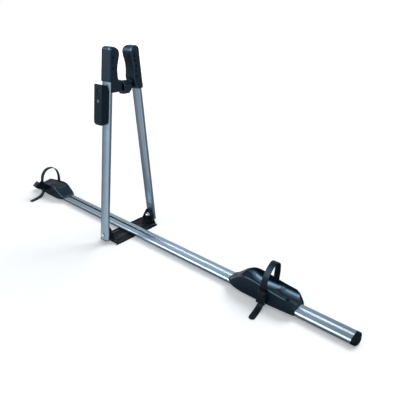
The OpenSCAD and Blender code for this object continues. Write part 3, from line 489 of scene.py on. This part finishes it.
def makeArm(side, nodeName, plan):
    # an oval carried along the arm; near each end the oval shrinks by a quarter circle
    e = plan["edgeRound"]
    turn = np.linspace(0, pi / 2, plan["edgeSteps"])
    levels = np.linspace(-plan["below"] + e, plan["above"] - e, plan["levels"])[1:-1]
    inset = np.concatenate([e * (1 - np.sin(turn)), np.zeros(len(levels)),
                            e * (1 - np.cos(turn))])
    up = np.concatenate([-plan["below"] + e * (1 - np.cos(turn)), levels,
                         plan["above"] - e * (1 - np.sin(turn))])
    rows = []
    for i, u in zip(inset, up):
        oval = ovalOutline(plan["width"] - 2 * i, plan["thickness"] - 2 * i,
                           plan["squareness"], plan["around"])
        rows.append(onArm(side, oval[:, 0], oval[:, 1], u))
    finishPiece(tubeOf(nodeName + "Tube", np.stack(rows), sharpAngle=50), "armMetal", nodeName)


makeArm(-1, "left_arm", armPlan)
makeArm(1, "right_arm", armPlan)
for nodeName in ("left_arm_plug", "right_arm_plug"):
    softenNode(nodeName, "plainPlastic", 0.5, 3)
print("arms made")


# Jaws and pads

jawPlan = {
    "inner": [[480, 12], [488, 14.5], [496, 18.5], [506, 23], [516, 25], [528, 22.6],
              [549, 20.3], [560, 21], [569, 22.4], [580, 24.6], [589, 25.7], [595, 25.2],
              [600, 23.6], [604, 21], [608, 16.5], [612, 10]],
    "width": 46.0, "outer": 11.7, "innerRadius": 6.0, "outerRadius": 9.0, "footInset": 0.8,
    "bottom": 480.0, "shoulder": 599.0, "domeHeight": 12.0, "domeInset": 10.0,
    "tightenFor": 3.0, "tightenBy": 0.6, "sideBand": 0.6,
    "levels": 190, "domeSteps": 12, "cornerSteps": 10, "around": 232,
    "leftCut": 510.0, "leftCutRun": 1.2, "leftCutFace": 2.5,
    "pocketStart": 515.0, "pocketPitch": 15.5, "pocketCount": 5, "pocketDepth": 4.2,
    "pocketSlope": (-0.1, 0.9),
    "pocketCorners": [[(-9.6, 1.0), (-9.6, 13.5), (-17.6, 3.0)],
                      [(-9.6, 4.0), (-17.2, 13.5), (-17.6, 1.0)]],
}


def pocketDepth(t, s, plan):
    # how deep the side is pressed in at (t, s): triangles between slanting ribs
    deep = np.zeros(np.broadcast(t, s).shape)
    for number in range(plan["pocketCount"]):
        low = plan["pocketStart"] + number * plan["pocketPitch"]
        corners = [(across, low + up) for across, up in plan["pocketCorners"][number % 2]]
        inside = np.full(deep.shape, np.inf)
        middle = np.mean(corners, 0)
        for a, b in zip(corners, corners[1:] + corners[:1]):
            run = np.array(b, float) - a
            across = np.array([-run[1], run[0]]) / np.hypot(*run)
            if np.dot(middle - a, across) < 0:
                across = -across
            inside = np.minimum(inside, (t - a[0]) * across[0] + (s - a[1]) * across[1])
        deep = np.maximum(deep, plan["pocketDepth"] * smoothStep(*plan["pocketSlope"], inside))
    return deep


def evenly(ring, count):
    # the same closed line with its points spread evenly by length, from a fixed start
    loop = np.concatenate([ring, ring[:1]])
    run = np.concatenate([[0], np.cumsum(np.hypot(*np.diff(loop, axis=0).T))])
    at = np.linspace(0, run[-1], count, endpoint=False)
    return np.stack([np.interp(at, run, loop[:, 0]), np.interp(at, run, loop[:, 1])], -1)


def jawRings(side, plan):
    # rounded rectangles up the arm, from the inner curve to the outer face; the dome's
    # sections shrink as a quarter of an ellipse
    turn = np.linspace(0, pi / 2, plan["domeSteps"])[1:]
    flat = np.linspace(plan["bottom"], plan["shoulder"], plan["levels"])
    up = np.concatenate([flat, plan["shoulder"] + plan["domeHeight"] * np.sin(turn)])
    inset = np.concatenate([[plan["footInset"]], np.zeros(len(flat) - 1),
                            plan["domeInset"] * (1 - np.cos(turn))])
    rows = []
    for s, i in zip(up, inset):
        inner = float(throughTable(s, plan["inner"]))
        outerRadius = plan["outerRadius"] - min(i, plan["tightenFor"]) * plan["tightenBy"]
        ring = roundedOutline(plan["width"] / 2 - i, -inner, plan["outer"] - i,
                              plan["innerRadius"], outerRadius, plan["cornerSteps"])
        rows.append(evenly(ring, plan["around"]))
    rings = np.stack(rows)
    s = np.repeat(up[:, None], plan["around"], 1)
    x, t = rings[:, :, 0], rings[:, :, 1]
    # the pockets are pressed into one side face only
    x = x - pocketDepth(t, s, plan) * (x > plan["width"] / 2 - plan["sideBand"])
    return side * x, t, s


def makeJaw(side, nodeName, plan):
    x, t, s = jawRings(side, plan)
    if side < 0:
        # the left jaw's outer half starts higher: points below the cut slide inwards
        face = plan["leftCutFace"]
        below = 1 - smoothStep(plan["leftCut"] - plan["leftCutRun"], plan["leftCut"], s)
        t = np.where(t > face, t * (1 - below) + np.minimum(t, face) * below, t)
    piece = tubeOf(nodeName + "Moulding", onArm(side, x, t, s), sharpAngle=42)
    finishPiece(piece, "moulding", nodeName)


makeJaw(-1, "left_jaw", jawPlan)
makeJaw(1, "right_jaw", jawPlan)

bossPlan = {"z0": 505.0, "z1": 541.0, "width": 26.0, "y0": 12.0, "y1": 52.0, "radius": 6.0,
            "endRound": 1.2, "endSteps": 5, "cornerSteps": 8}


def makeBoss(plan):
    # the left jaw's boss round the clamp rod, a rounded bar carried along Y
    e = plan["endRound"]
    turn = np.linspace(0, pi / 2, plan["endSteps"])
    along = np.concatenate([plan["y0"] + e * (1 - np.cos(turn)), [plan["y1"]]])
    inset = np.concatenate([e * (1 - np.sin(turn)), [0.0]])
    rows = []
    for y, i in zip(along, inset):
        radius = plan["radius"] - i * 0.5
        ring = roundedOutline(plan["width"] / 2 - i, plan["z0"] + i, plan["z1"] - i,
                              radius, radius, plan["cornerSteps"])
        rows.append(np.stack([ring[:, 0], np.full(len(ring), -y), ring[:, 1]], -1))
    piece = tubeOf("leftJawBoss", np.stack(rows), sharpAngle=42)
    piece.data.materials.append(materials["moulding"])
    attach(piece, bodyOf["left_jaw"])


makeBoss(bossPlan)

padPlan = {"start": 512.0, "end": 597.0, "width": 30.0, "stations": 140, "proud": 1.0,
           "endDrop": 0.8, "endRun": 1.2, "ridge": 0.45, "ridgePitch": 5.6,
           "ridgePower": 0.6, "sunk": 2.0, "frontRadius": 0.9, "backRadius": 0.3,
           "cornerSteps": 5}


def makePad(side, nodeName, plan):
    # a ribbed rubber strip that follows the jaw's inner curve
    s = np.linspace(plan["start"], plan["end"], plan["stations"])
    ends = np.minimum(s - s[0], s[-1] - s)
    proud = plan["proud"] - plan["endDrop"] * (1 - smoothStep(0, plan["endRun"], ends))
    wave = np.abs(np.sin(pi * (s - s[0]) / plan["ridgePitch"])) ** plan["ridgePower"]
    ridge = plan["ridge"] * wave - plan["ridge"]
    inner = throughTable(s, jawPlan["inner"])
    rows = []
    for up, p, g, i in zip(s, proud, ridge, inner):
        ring = roundedOutline(plan["width"] / 2, -i - p - g, -i + plan["sunk"],
                              plan["frontRadius"], plan["backRadius"], plan["cornerSteps"])
        rows.append(onArm(side, ring[:, 0], ring[:, 1], up))
    piece = tubeOf(nodeName + "Strip", np.stack(rows), sharpAngle=40)
    finishPiece(piece, "padRubber", nodeName)


makePad(-1, "left_jaw_pad", padPlan)
makePad(1, "right_jaw_pad", padPlan)
for nodeName in ("left_jaw_screws", "right_jaw_screws"):
    softenNode(nodeName, "blackScrewSteel", 0.25)
print("jaws made")


# Clamp: rod, knob, lever and lock

knobPlan = {"z": 516.0, "radius": 21.0, "y0": -7.0, "length": 29.0, "boreRadius": 7.2,
            "edgeRound": 3.2, "edgeSteps": 9, "faceStep": 2.5, "gripLevels": 10,
            "neckRadius": 8.5, "neckEnd": 43.0, "neckChamfer": 1.0,
            "neckFillet": [[0, 1.5], [1.0, 0.3], [2.5, 0]], "gripFrom": 2.0,
            "lobes": 8, "scoopRadius": 7.0, "scoopOut": 4.5, "scoopBlend": 0.35,
            "scoopFade": 0.8, "around": 192}


def makeKnob(plan):
    # r(angle, y): a bar with rounded ends and round scoops between its lobes, then the neck
    y0, y1 = plan["y0"], plan["y0"] + plan["length"]
    radius, neck, e = plan["radius"], plan["neckRadius"], plan["edgeRound"]
    turn = np.linspace(0, pi / 2, plan["edgeSteps"])
    levels = np.linspace(y0 + e, y1 - e, plan["gripLevels"])[1:-1]
    profile = np.concatenate([
        [[y0, plan["boreRadius"]]], [[y0, radius - e - plan["faceStep"]]],
        np.stack([y0 + e * (1 - np.cos(turn)), radius - e * (1 - np.sin(turn))], -1),
        np.stack([levels, np.full(len(levels), radius)], -1),
        np.stack([y1 - e + e * np.sin(turn), radius - e * (1 - np.cos(turn))], -1),
        [[y1 + out, neck + more] for out, more in plan["neckFillet"]],
        [[plan["neckEnd"] - plan["neckChamfer"], neck],
         [plan["neckEnd"], neck - plan["neckChamfer"]]]])
    a = np.linspace(0, 2 * pi, plan["around"], endpoint=False)
    pitch = 2 * pi / plan["lobes"]
    off = (a + pitch / 2) % pitch - pitch / 2
    reach = radius + plan["scoopOut"]
    inside = np.maximum(plan["scoopRadius"] ** 2 - (reach * np.sin(off)) ** 2, 0)
    scoop = np.where(inside > 0, reach * np.cos(off) - np.sqrt(inside), np.inf)
    blend = plan["scoopBlend"]
    limit = -np.log(np.exp(-scoop / blend) + np.exp(-radius / blend)) * blend
    r = profile[:, 1][:, None]
    scooped = np.minimum(r, limit[None, :] + (r - radius) * plan["scoopFade"])
    r = np.where(r > neck + plan["gripFrom"], scooped, r)
    rings = np.stack([r * np.cos(a), np.repeat(profile[:, :1], len(a), 1),
                      plan["z"] + r * np.sin(a)], -1)
    finishPiece(tubeOf("knobGrip", rings, sharpAngle=38), "moulding", "adjusting_knob")


makeKnob(knobPlan)
for nodeName, materialName, width in (
        ("knob_insert", "brassMetal", 0.4), ("clamp_rod", "zincSteel", 0.3),
        ("cross_pin", "zincSteel", 0.3), ("rod_nut", "zincSteel", 0.3),
        ("rod_washer", "zincSteel", 0.2), ("cam_plate", "plainPlastic", 0.4),
        ("lock_keeper", "zincSteel", 0.2), ("clamp_lever", "leverPlastic", 1.1),
        ("lock_cylinder", "lockSteel", 0.25), ("lock_tongue", "zincSteel", 0.2)):
    softenNode(nodeName, materialName, width, 3)
print("clamp made")


# Wheel trays

trayPlan = {
    "length": 220.0, "half": 32.5, "wall": 3.2, "floor": 7.0, "railTop": 22.0, "railHalf": 24.3,
    "near": {"nose": 457.0, "sign": 1, "rimHeight": 43.0,
             "rim": [[0, 0.02], [6, 0.05], [15, 0.19], [25, 0.4], [35, 0.61], [45, 0.76],
                     [55, 0.9], [66, 0.98], [77, 1], [95, 0.97], [112, 0.92], [130, 0.85],
                     [150, 0.79], [172, 0.74], [195, 0.71], [230, 0.69]]},
    "far": {"nose": -375.0, "sign": -1, "rimHeight": 35.0,
            "rim": [[0, 0.03], [6, 0.06], [15, 0.16], [25, 0.34], [35, 0.52], [45, 0.7],
                    [55, 0.87], [66, 0.98], [77, 1], [95, 0.97], [112, 0.92], [130, 0.83],
                    [150, 0.75], [172, 0.66], [195, 0.58], [230, 0.5]]},
    "skirt": [[0, 17], [12, 13], [30, 9], [60, 6], [110, 6], [170, 9], [200, 13], [230, 19]],
    "narrowing": [[0, 12], [6, 7], [15, 3], [25, 1.4], [35, 0.7], [55, 0], [230, 0]],
    "troughWidth": [[38, 0.12], [42, 0.3], [46, 0.62], [52, 0.86], [60, 0.97], [70, 1],
                    [230, 1]],
    "troughRise": [[42, 19], [52, 14], [62, 9], [75, 4.5], [90, 2], [110, 0], [138, 0.5],
                   [152, 4], [168, 0.5], [230, 0]],
    "screws": [98, 184], "screwRadius": 6.3, "screwSeat": 26.4, "screwTop": 70.0,
    "spans": [[0, 36, 34], [36, 46, 22], [46, 75, 30], [75, 170, 64]],
    "tailFrom": 170.0, "tailSpread": 30.0, "tailSteps": 26, "rimEndAt": 196.0,
    "edge": 3.0, "edgeShare": 0.8, "lidOver": 0.3, "rimOver": 0.4, "wallBow": 2.2,
    "skirtBlend": (0.2, 1.6), "lidGap": 0.2, "troughGap": 0.1, "troughLeast": 0.6,
    "troughBend": (39.5, 43.0), "troughPowers": (0.95, 0.98),
    "floorPoints": 11, "cornerTurn": 33.0,
    # how far the tray stands back from its length: by height, then by height under the rim
    "frontEnd": [[-5, 0], [18, 1], [22, 2.5]],
    "rimEnd": [[20, 9], [8, 18], [2, 27], [0, 32]],
}


def trayHalfRing(x, which):
    # one half of the tray's section at each x, as two chains that meet on the rim:
    # under the floor, down the skirt and up the outer wall; and up the trough from its middle
    plan, own, e = trayPlan, trayPlan[which], trayPlan["edge"]
    z1 = plan["railTop"] + own["rimHeight"] * throughTable(x, own["rim"])
    w = plan["half"] - throughTable(x, plan["narrowing"])
    skirt = throughTable(x, plan["skirt"])
    top = plan["railTop"] + plan["lidOver"]
    over = smoothStep(*plan["skirtBlend"], w - e - plan["railHalf"])
    zb = np.minimum(top * (1 - over) + skirt * over, z1 - plan["rimOver"])
    lid = np.minimum(top, z1 - plan["rimOver"])
    yi = np.minimum(plan["railHalf"], w - e - plan["lidGap"])
    r = np.minimum(e, (z1 - zb) * plan["edgeShare"])
    chainA = []
    for k in np.linspace(0, 1, plan["floorPoints"]):
        chainA.append((yi * k, lid))
    for k in np.linspace(0, 1, 4)[1:]:
        chainA.append((yi, lid * (1 - k) + zb * k))
    for k in (0.5, 1.0):
        chainA.append((yi * (1 - k) + (w - e) * k, zb))
    for k in np.linspace(0, 1, 9)[1:]:
        chainA.append((w - e * (1 - k) ** plan["wallBow"], zb + (z1 - r - zb) * k))
    for a in np.linspace(0, pi / 2, 7)[1:]:
        chainA.append((w - e + e * cos(a), z1 - r + r * sin(a)))
    depth = smoothStep(*plan["troughBend"], x)
    wt = np.minimum((plan["half"] - plan["wall"]) * throughTable(x, plan["troughWidth"]),
                    w - e - plan["troughGap"])
    z0 = plan["railTop"] + plan["floor"] + throughTable(x, plan["troughRise"])
    z0 = z1 - (z1 - np.minimum(z0, z1 - plan["troughLeast"])) * depth
    # as many points lie over the floor as under it, so that the end face keeps off the rail
    overFloor = np.linspace(90, plan["cornerTurn"], plan["floorPoints"])
    overWall = np.linspace(plan["cornerTurn"], 0, 13)[1:]
    sidePower, downPower = plan["troughPowers"]
    chainB = []
    for a in np.radians(np.concatenate([overFloor, overWall])):
        chainB.append((wt * max(cos(a), 0) ** sidePower, z1 - (z1 - z0) * sin(a) ** downPower))
    for k in np.linspace(0, 1, 8)[1:]:
        chainB.append((wt + (w - e - wt) * k, z1))
    return [np.stack([np.stack(np.broadcast_arrays(*point, x)[:2], -1) for point in chain], 1)
            for chain in (chainA, chainB)]


def endReach(z, rimEnd):
    # where the open end is cut, by height: the walls slope down to the floor's front edge
    stops = trayPlan["frontEnd"] + [[rimEnd - under, back] for under, back in trayPlan["rimEnd"]]
    back = np.interp(z, [stop[0] for stop in stops], [stop[1] for stop in stops])
    return trayPlan["length"] - back


def endFaces(first, count, columns, flip):
    # one end: quads between the outer chain and the trough chain, on each half
    middle = 2 * count - 2
    faces = []
    for i in range(count - 1):
        quad = [i, i + 1, middle - 1 - i, middle - i]
        if i == count - 2:
            quad = [i, i + 1, middle - i]
        mirrored = [q if q in (0, middle) else columns - q for q in quad][::-1]
        for face in (quad, mirrored):
            faces.append([first + f for f in (face[::-1] if flip else face)])
    return faces


def makeTray(which):
    plan, own = trayPlan, trayPlan[which]
    start = plan["tailFrom"]
    x = np.unique(np.concatenate([np.linspace(*span) for span in plan["spans"]]))
    tail = np.linspace(0, 1, plan["tailSteps"])[1:]
    rimEnd = plan["railTop"] + own["rimHeight"] * float(throughTable(plan["rimEndAt"],
                                                                     own["rim"]))
    stations = np.concatenate([x, start + plan["tailSpread"] * tail])
    a, b = trayHalfRing(stations, which)
    count = a.shape[1]
    half = np.concatenate([a, b[:, -2::-1]], 1)  # under the floor, over the rim, to the middle
    other = half[:, 1:-1][:, ::-1] * [-1, 1]
    ring = np.concatenate([half, other], 1)
    along = np.repeat(stations[:, None], ring.shape[1], 1)
    k = np.concatenate([np.zeros(len(x)), tail])[:, None]
    along = np.where(k > 0, start + (endReach(ring[:, :, 1], rimEnd) - start) * k, along)
    rows, columns = ring.shape[:2]
    points = np.stack([own["nose"] + own["sign"] * along, ring[:, :, 0], ring[:, :, 1]], -1)
    faces = (ringFaces(rows, columns) + endFaces(0, count, columns, True)
             + endFaces((rows - 1) * columns, count, columns, False))
    piece = faceOutwards(meshFrom(which + "TrayMoulding", points.reshape(-1, 3), faces), 34)
    cutters = []
    for at in plan["screws"]:
        screwX = own["nose"] + own["sign"] * at
        cutters.append(roundBar("cutter", (screwX, 0, plan["screwSeat"]),
                                (screwX, 0, plan["screwTop"]), plan["screwRadius"]))
    carve(piece, cutters)
    piece.data.materials.clear()
    finishPiece(piece, "trayPlastic", which + "_tray")


makeTray("near")
makeTray("far")
for nodeName, materialName in (
        ("near_tray_screws", "blackScrewSteel"), ("far_tray_screws", "blackScrewSteel"),
        ("near_slot_nuts", "zincSteel"), ("far_slot_nuts", "zincSteel")):
    softenNode(nodeName, materialName, 0.25)
print("trays made")


# Straps and buckles

strapPlan = {
    "width": 18.0, "thickness": 3.0, "from": 127.0, "edgeRadius": 0.9, "rib": 0.35,
    "ribPitch": 4.2, "ribEdge": (0.1, 0.5), "ribFade": (1.0, 4.0), "spanSteps": 24,
    "ribDrop": 0.9, "step": 0.55, "tipRound": 7.0, "tipLeast": 0.05, "turnRun": (-1.0, 14.0),
    "near": {"turnPoint": 14, "turn": 7.0,
             "path": [[34.5, 30], [34.5, 50], [35.5, 72], [35, 92], [31, 107], [20.5, 116.5],
                      [8, 119.5], [-5, 114.5], [-17.5, 104.5], [-28.5, 91], [-35, 76.5],
                      [-37.8, 61], [-37.8, 41], [-37.8, 23], [-40.5, 12.5], [-50, 6.4],
                      [-62, 3.4], [-78, 2], [-103, 1.7]]},
    "far": {"turnPoint": 15, "turn": -12.0,
            "path": [[34.5, 30], [34.5, 50], [35, 70], [32, 88], [24, 105], [12, 114.5],
                     [-2, 117.5], [-16, 115.5], [-28, 108], [-37, 96.5], [-42, 83], [-44, 68],
                     [-44, 52], [-44, 36], [-45, 24], [-50, 13], [-60, 6.4], [-74, 3.2],
                     [-92, 2], [-117, 1.7]]},
}


def curveThrough(path, steps):
    # a smooth curve through the points, each span weighted from its four nearest points
    p = np.array(path, float)
    padded = np.concatenate([p[:1], p, p[-1:]])
    t = np.linspace(0, 1, steps, endpoint=False)[None, :, None]
    p0, p1, p2, p3 = (padded[i:len(padded) - 3 + i][:, None, :] for i in range(4))
    c = 0.5 * (2 * p1 + (p2 - p0) * t + (2 * p0 - 5 * p1 + 4 * p2 - p3) * t * t
               + (3 * p1 - p0 - 3 * p2 + p3) * t ** 3)
    return np.concatenate([c.reshape(-1, 2), p[-1:]])


def makeStrap(which):
    # a flat rounded bar along the curve with low cross ribs on its outer side; from the
    # turning point on, the tail swings aside about an upright line
    plan, own, tray = strapPlan, strapPlan[which], trayPlan[which]
    line = curveThrough(own["path"], plan["spanSteps"])
    run = np.concatenate([[0], np.cumsum(np.hypot(*np.diff(line, axis=0).T))])
    step = np.append(np.arange(0, run[-1], plan["step"]), run[-1])
    line = np.stack([np.interp(step, run, line[:, 0]), np.interp(step, run, line[:, 1])], -1)
    tangent = np.gradient(line, axis=0)
    tangent = tangent / np.hypot(*tangent.T)[:, None]
    outwards = np.stack([tangent[:, 1], -tangent[:, 0]], -1)
    profile = roundedOutline(plan["width"] / 2, -plan["thickness"] / 2, plan["thickness"] / 2,
                             plan["edgeRadius"], plan["edgeRadius"], 5)
    pivotY = own["path"][own["turnPoint"]][0]
    pivotRun = float(run[own["turnPoint"] * plan["spanSteps"]])
    turnFrom, turnTo = (pivotRun + offset for offset in plan["turnRun"])
    turn = (radians(own["turn"]) * smoothStep(turnFrom, turnTo, step))[:, None]
    left = run[-1] - step
    tip = 1 - (1 - np.clip(left / plan["tipRound"], 0, 1)) ** 2
    tip = np.sqrt(np.clip(tip, plan["tipLeast"], 1))
    ribs = plan["rib"] * smoothStep(*plan["ribEdge"], np.cos(2 * pi * step / plan["ribPitch"]))
    ribs = ribs * smoothStep(*plan["ribFade"], np.minimum(step, left))
    across = profile[None, :, 0] * tip[:, None]
    isInner = profile[None, :, 1] < 0
    drop = (plan["rib"] - ribs[:, None]) * plan["ribDrop"]
    deep = profile[None, :, 1] - np.where(isInner, 0, drop)
    flatY = line[:, 0][:, None] - outwards[:, 0][:, None] * deep
    flatZ = line[:, 1][:, None] - outwards[:, 1][:, None] * deep
    y = pivotY + (flatY - pivotY) * np.cos(turn) + across * np.sin(turn)
    x = across * np.cos(turn) - (flatY - pivotY) * np.sin(turn)
    points = np.stack([tray["nose"] + tray["sign"] * (plan["from"] + x), y, flatZ], -1)
    piece = tubeOf(which + "StrapLadder", points, sharpAngle=40)
    finishPiece(piece, "strapRubber", which + "_strap")


for which in ("near", "far"):
    makeStrap(which)
    softenNode(which + "_strap_rivet", "zincSteel", 0.3)
    softenNode(which + "_buckle", "plainPlastic", 0.7, 3)
    softenNode(which + "_buckle_pin", "zincSteel", 0.25)
    softenNode(which + "_buckle_lever", "plainPlastic", 0.8, 3)
print("straps made")


# Floor, light and camera

stagePlan = {
    "floorSize": 60.0, "floorColour": (0.80, 0.81, 0.82), "lift": 0.29, "liftFar": 1.0,
    "farFrom": 1.6, "farTo": 7.0, "mirrorLift": 0.22, "sideGrey": 0.28,
    "frontTurn": 10.0, "frontFrom": 0.2, "frontTo": 1.0,
    "worldLight": 0.5, "worldColour": (0.93, 0.97, 1.0),
    "bright": (-0.10, -0.85, 0.50), "brightFrom": 0.3, "brightTo": 0.95, "dimmest": 0.36,
    "patches": [{"toward": (-0.52, 0.67, 0.54), "from": 0.88, "to": 0.985, "lift": 0.62},
                {"toward": (-0.15, -0.50, 0.85), "from": 0.80, "to": 0.95, "lift": 1.7},
                {"toward": (0.75, -0.42, 0.45), "from": 0.93, "to": 0.99, "lift": 4.0}],
}


def rangeOf(tree, value, fromMin, fromMax, toMin, toMax):
    span = addNode(tree, "ShaderNodeMapRange", interpolation_type="SMOOTHSTEP")
    setInputs(span, {"From Min": fromMin, "From Max": fromMax, "To Min": toMin, "To Max": toMax})
    tree.links.new(value, span.inputs["Value"])
    return span.outputs["Result"]


def mathOf(tree, operation, first, second):
    step = addNode(tree, "ShaderNodeMath", operation=operation)
    for value, socket in ((first, step.inputs[0]), (second, step.inputs[1])):
        if hasattr(value, "links"):
            tree.links.new(value, socket)
        else:
            socket.default_value = value
    return step.outputs[0]


def cosineTo(tree, vector, direction):
    # the cosine of the angle between a unit vector and a direction
    toward = addNode(tree, "ShaderNodeVectorMath", operation="DOT_PRODUCT")
    toward.inputs[1].default_value = Vector(direction).normalized()
    tree.links.new(vector, toward.inputs[0])
    return toward.outputs["Value"]


def mirrorRays(tree, rays):
    # 1 for rays that were reflected or passed through something clear, else 0
    return mathOf(tree, "MAXIMUM", rays.outputs["Is Glossy Ray"],
                  rays.outputs["Is Transmission Ray"])


def makeFloor(plan):
    # pale paper: the camera sees it lifted to white around the object's own shadow, and
    # reflections see it fade to dark behind the object
    h = plan["floorSize"] / 2
    mesh = bpy.data.meshes.new("floor")
    mesh.from_pydata([(-h, -h, 0), (h, -h, 0), (h, h, 0), (-h, h, 0)], [], [(0, 1, 2, 3)])
    floor = addObject("floor", mesh)
    material, tree, shader = newMaterial("floorPaper")
    setInputs(shader, {"Roughness": 1.0, "Specular IOR Level": 0.0})
    rays = addNode(tree, "ShaderNodeLightPath")
    place = addNode(tree, "ShaderNodeTexCoord")
    away = addNode(tree, "ShaderNodeVectorMath", operation="LENGTH")
    tree.links.new(place.outputs["Object"], away.inputs[0])
    lift = rangeOf(tree, away.outputs["Value"], plan["farFrom"], plan["farTo"], plan["lift"],
                   plan["liftFar"])
    unit = addNode(tree, "ShaderNodeVectorMath", operation="NORMALIZE")
    tree.links.new(place.outputs["Object"], unit.inputs[0])
    turn = radians(plan["frontTurn"])
    ahead = cosineTo(tree, unit.outputs["Vector"], (sin(turn), -cos(turn), 0))
    front = rangeOf(tree, ahead, plan["frontFrom"], plan["frontTo"], plan["sideGrey"], 1.0)
    either = mirrorRays(tree, rays)
    mirrored = mathOf(tree, "MULTIPLY", mathOf(tree, "MULTIPLY", either, front),
                      plan["mirrorLift"])
    seen = mathOf(tree, "MULTIPLY", rays.outputs["Is Camera Ray"], lift)
    glow = addNode(tree, "ShaderNodeEmission")
    tree.links.new(mathOf(tree, "ADD", seen, mirrored), glow.inputs["Strength"])
    hidden = mathOf(tree, "MULTIPLY", either, mathOf(tree, "SUBTRACT", 1.0, front))
    tree.links.new(mixColours(tree, hidden, plan["floorColour"], (0.0, 0.0, 0.0)),
                   shader.inputs["Base Color"])
    total = addNode(tree, "ShaderNodeAddShader")
    tree.links.new(shader.outputs[0], total.inputs[0])
    tree.links.new(glow.outputs[0], total.inputs[1])
    tree.links.new(total.outputs[0], tree.nodes["Material Output"].inputs["Surface"])
    mesh.materials.append(material)


def makeWorld(plan):
    # soft light all round; the camera sees plain white, and reflections see a white that is
    # brightest in front, with a few small patches that are brighter still
    world = bpy.data.worlds.new("studio")
    bpy.context.scene.world = world
    world.use_nodes = True
    tree = world.node_tree
    tree.nodes.clear()
    output = addNode(tree, "ShaderNodeOutputWorld")
    light = addNode(tree, "ShaderNodeBackground")
    setInputs(light, {"Color": (*plan["worldColour"], 1), "Strength": plan["worldLight"]})
    white = addNode(tree, "ShaderNodeBackground")
    setInputs(white, {"Color": (1, 1, 1, 1)})
    rays = addNode(tree, "ShaderNodeLightPath")
    place = addNode(tree, "ShaderNodeTexCoord")
    around = place.outputs["Generated"]
    shade = rangeOf(tree, cosineTo(tree, around, plan["bright"]), plan["brightFrom"],
                    plan["brightTo"], plan["dimmest"], 1.0)
    for patch in plan["patches"]:
        shade = mathOf(tree, "ADD", shade,
                       rangeOf(tree, cosineTo(tree, around, patch["toward"]), patch["from"],
                               patch["to"], 0.0, patch["lift"]))
    either = mirrorRays(tree, rays)
    strength = mathOf(tree, "ADD", rays.outputs["Is Camera Ray"],
                      mathOf(tree, "MULTIPLY", either, shade))
    tree.links.new(strength, white.inputs["Strength"])
    mix = addNode(tree, "ShaderNodeMixShader")
    tree.links.new(mathOf(tree, "MAXIMUM", rays.outputs["Is Camera Ray"], either),
                   mix.inputs[0])
    tree.links.new(light.outputs[0], mix.inputs[1])
    tree.links.new(white.outputs[0], mix.inputs[2])
    tree.links.new(mix.outputs[0], output.inputs["Surface"])


lampPlan = {
    "backSun": {"place": (0.2, 1.3, 1.7), "target": (0, 0, 0), "power": 1.8,
                "colour": (1, 1, 1), "spread": 34.0},
    "stripLamp": {"place": (-0.55, -1.47, 1.7), "target": (0.30, 0.0, 0.05), "power": 62,
                  "colour": (0.92, 0.97, 1.0), "size": (1.9, 1.2)},
}


def makeLamp(name, kind, plan):
    light = bpy.data.lights.new(name, kind)
    light.energy = plan["power"]
    light.color = plan["colour"]
    lamp = addObject(name, light)
    lamp.location = plan["place"]
    aim = Vector(plan["target"]) - Vector(plan["place"])
    lamp.rotation_euler = aim.to_track_quat("-Z", "Y").to_euler()
    return lamp


makeFloor(stagePlan)
makeWorld(stagePlan)
backSun = makeLamp("backSun", "SUN", lampPlan["backSun"])
backSun.data.angle = radians(lampPlan["backSun"]["spread"])
backSun.visible_glossy = False
stripLamp = makeLamp("stripLamp", "AREA", lampPlan["stripLamp"])
stripLamp.data.shape = "RECTANGLE"
stripLamp.data.size, stripLamp.data.size_y = lampPlan["stripLamp"]["size"]
stripLamp.visible_diffuse = False

cameraPlan = {"eye": (1.00796, -0.84954, 0.73621), "azimuth": 40.4708, "elevation": 24.7224,
              "roll": 1.0339, "lens": 36.4685, "sensor": 36.0, "shiftX": 0.027436,
              "shiftY": -0.005517}


def makeCamera(plan):
    az, el, roll = (radians(plan[k]) for k in ("azimuth", "elevation", "roll"))
    back = Vector((sin(az) * cos(el), -cos(az) * cos(el), sin(el)))
    level = Vector((cos(az), sin(az), 0))
    upright = back.cross(level)
    right = cos(roll) * level + sin(roll) * upright
    up = -sin(roll) * level + cos(roll) * upright
    data = bpy.data.cameras.new("photoCamera")
    data.sensor_width = plan["sensor"]
    data.lens = plan["lens"]
    data.shift_x, data.shift_y = plan["shiftX"], plan["shiftY"]
    camera = addObject("photoCamera", data)
    turn = Matrix((right, up, back)).transposed()
    camera.matrix_world = Matrix.Translation(Vector(plan["eye"])) @ turn.to_4x4()
    bpy.context.scene.camera = camera


makeCamera(cameraPlan)
bpy.context.scene.view_settings.view_transform = "Standard"
print("stage made")

bpy.context.view_layer.update()
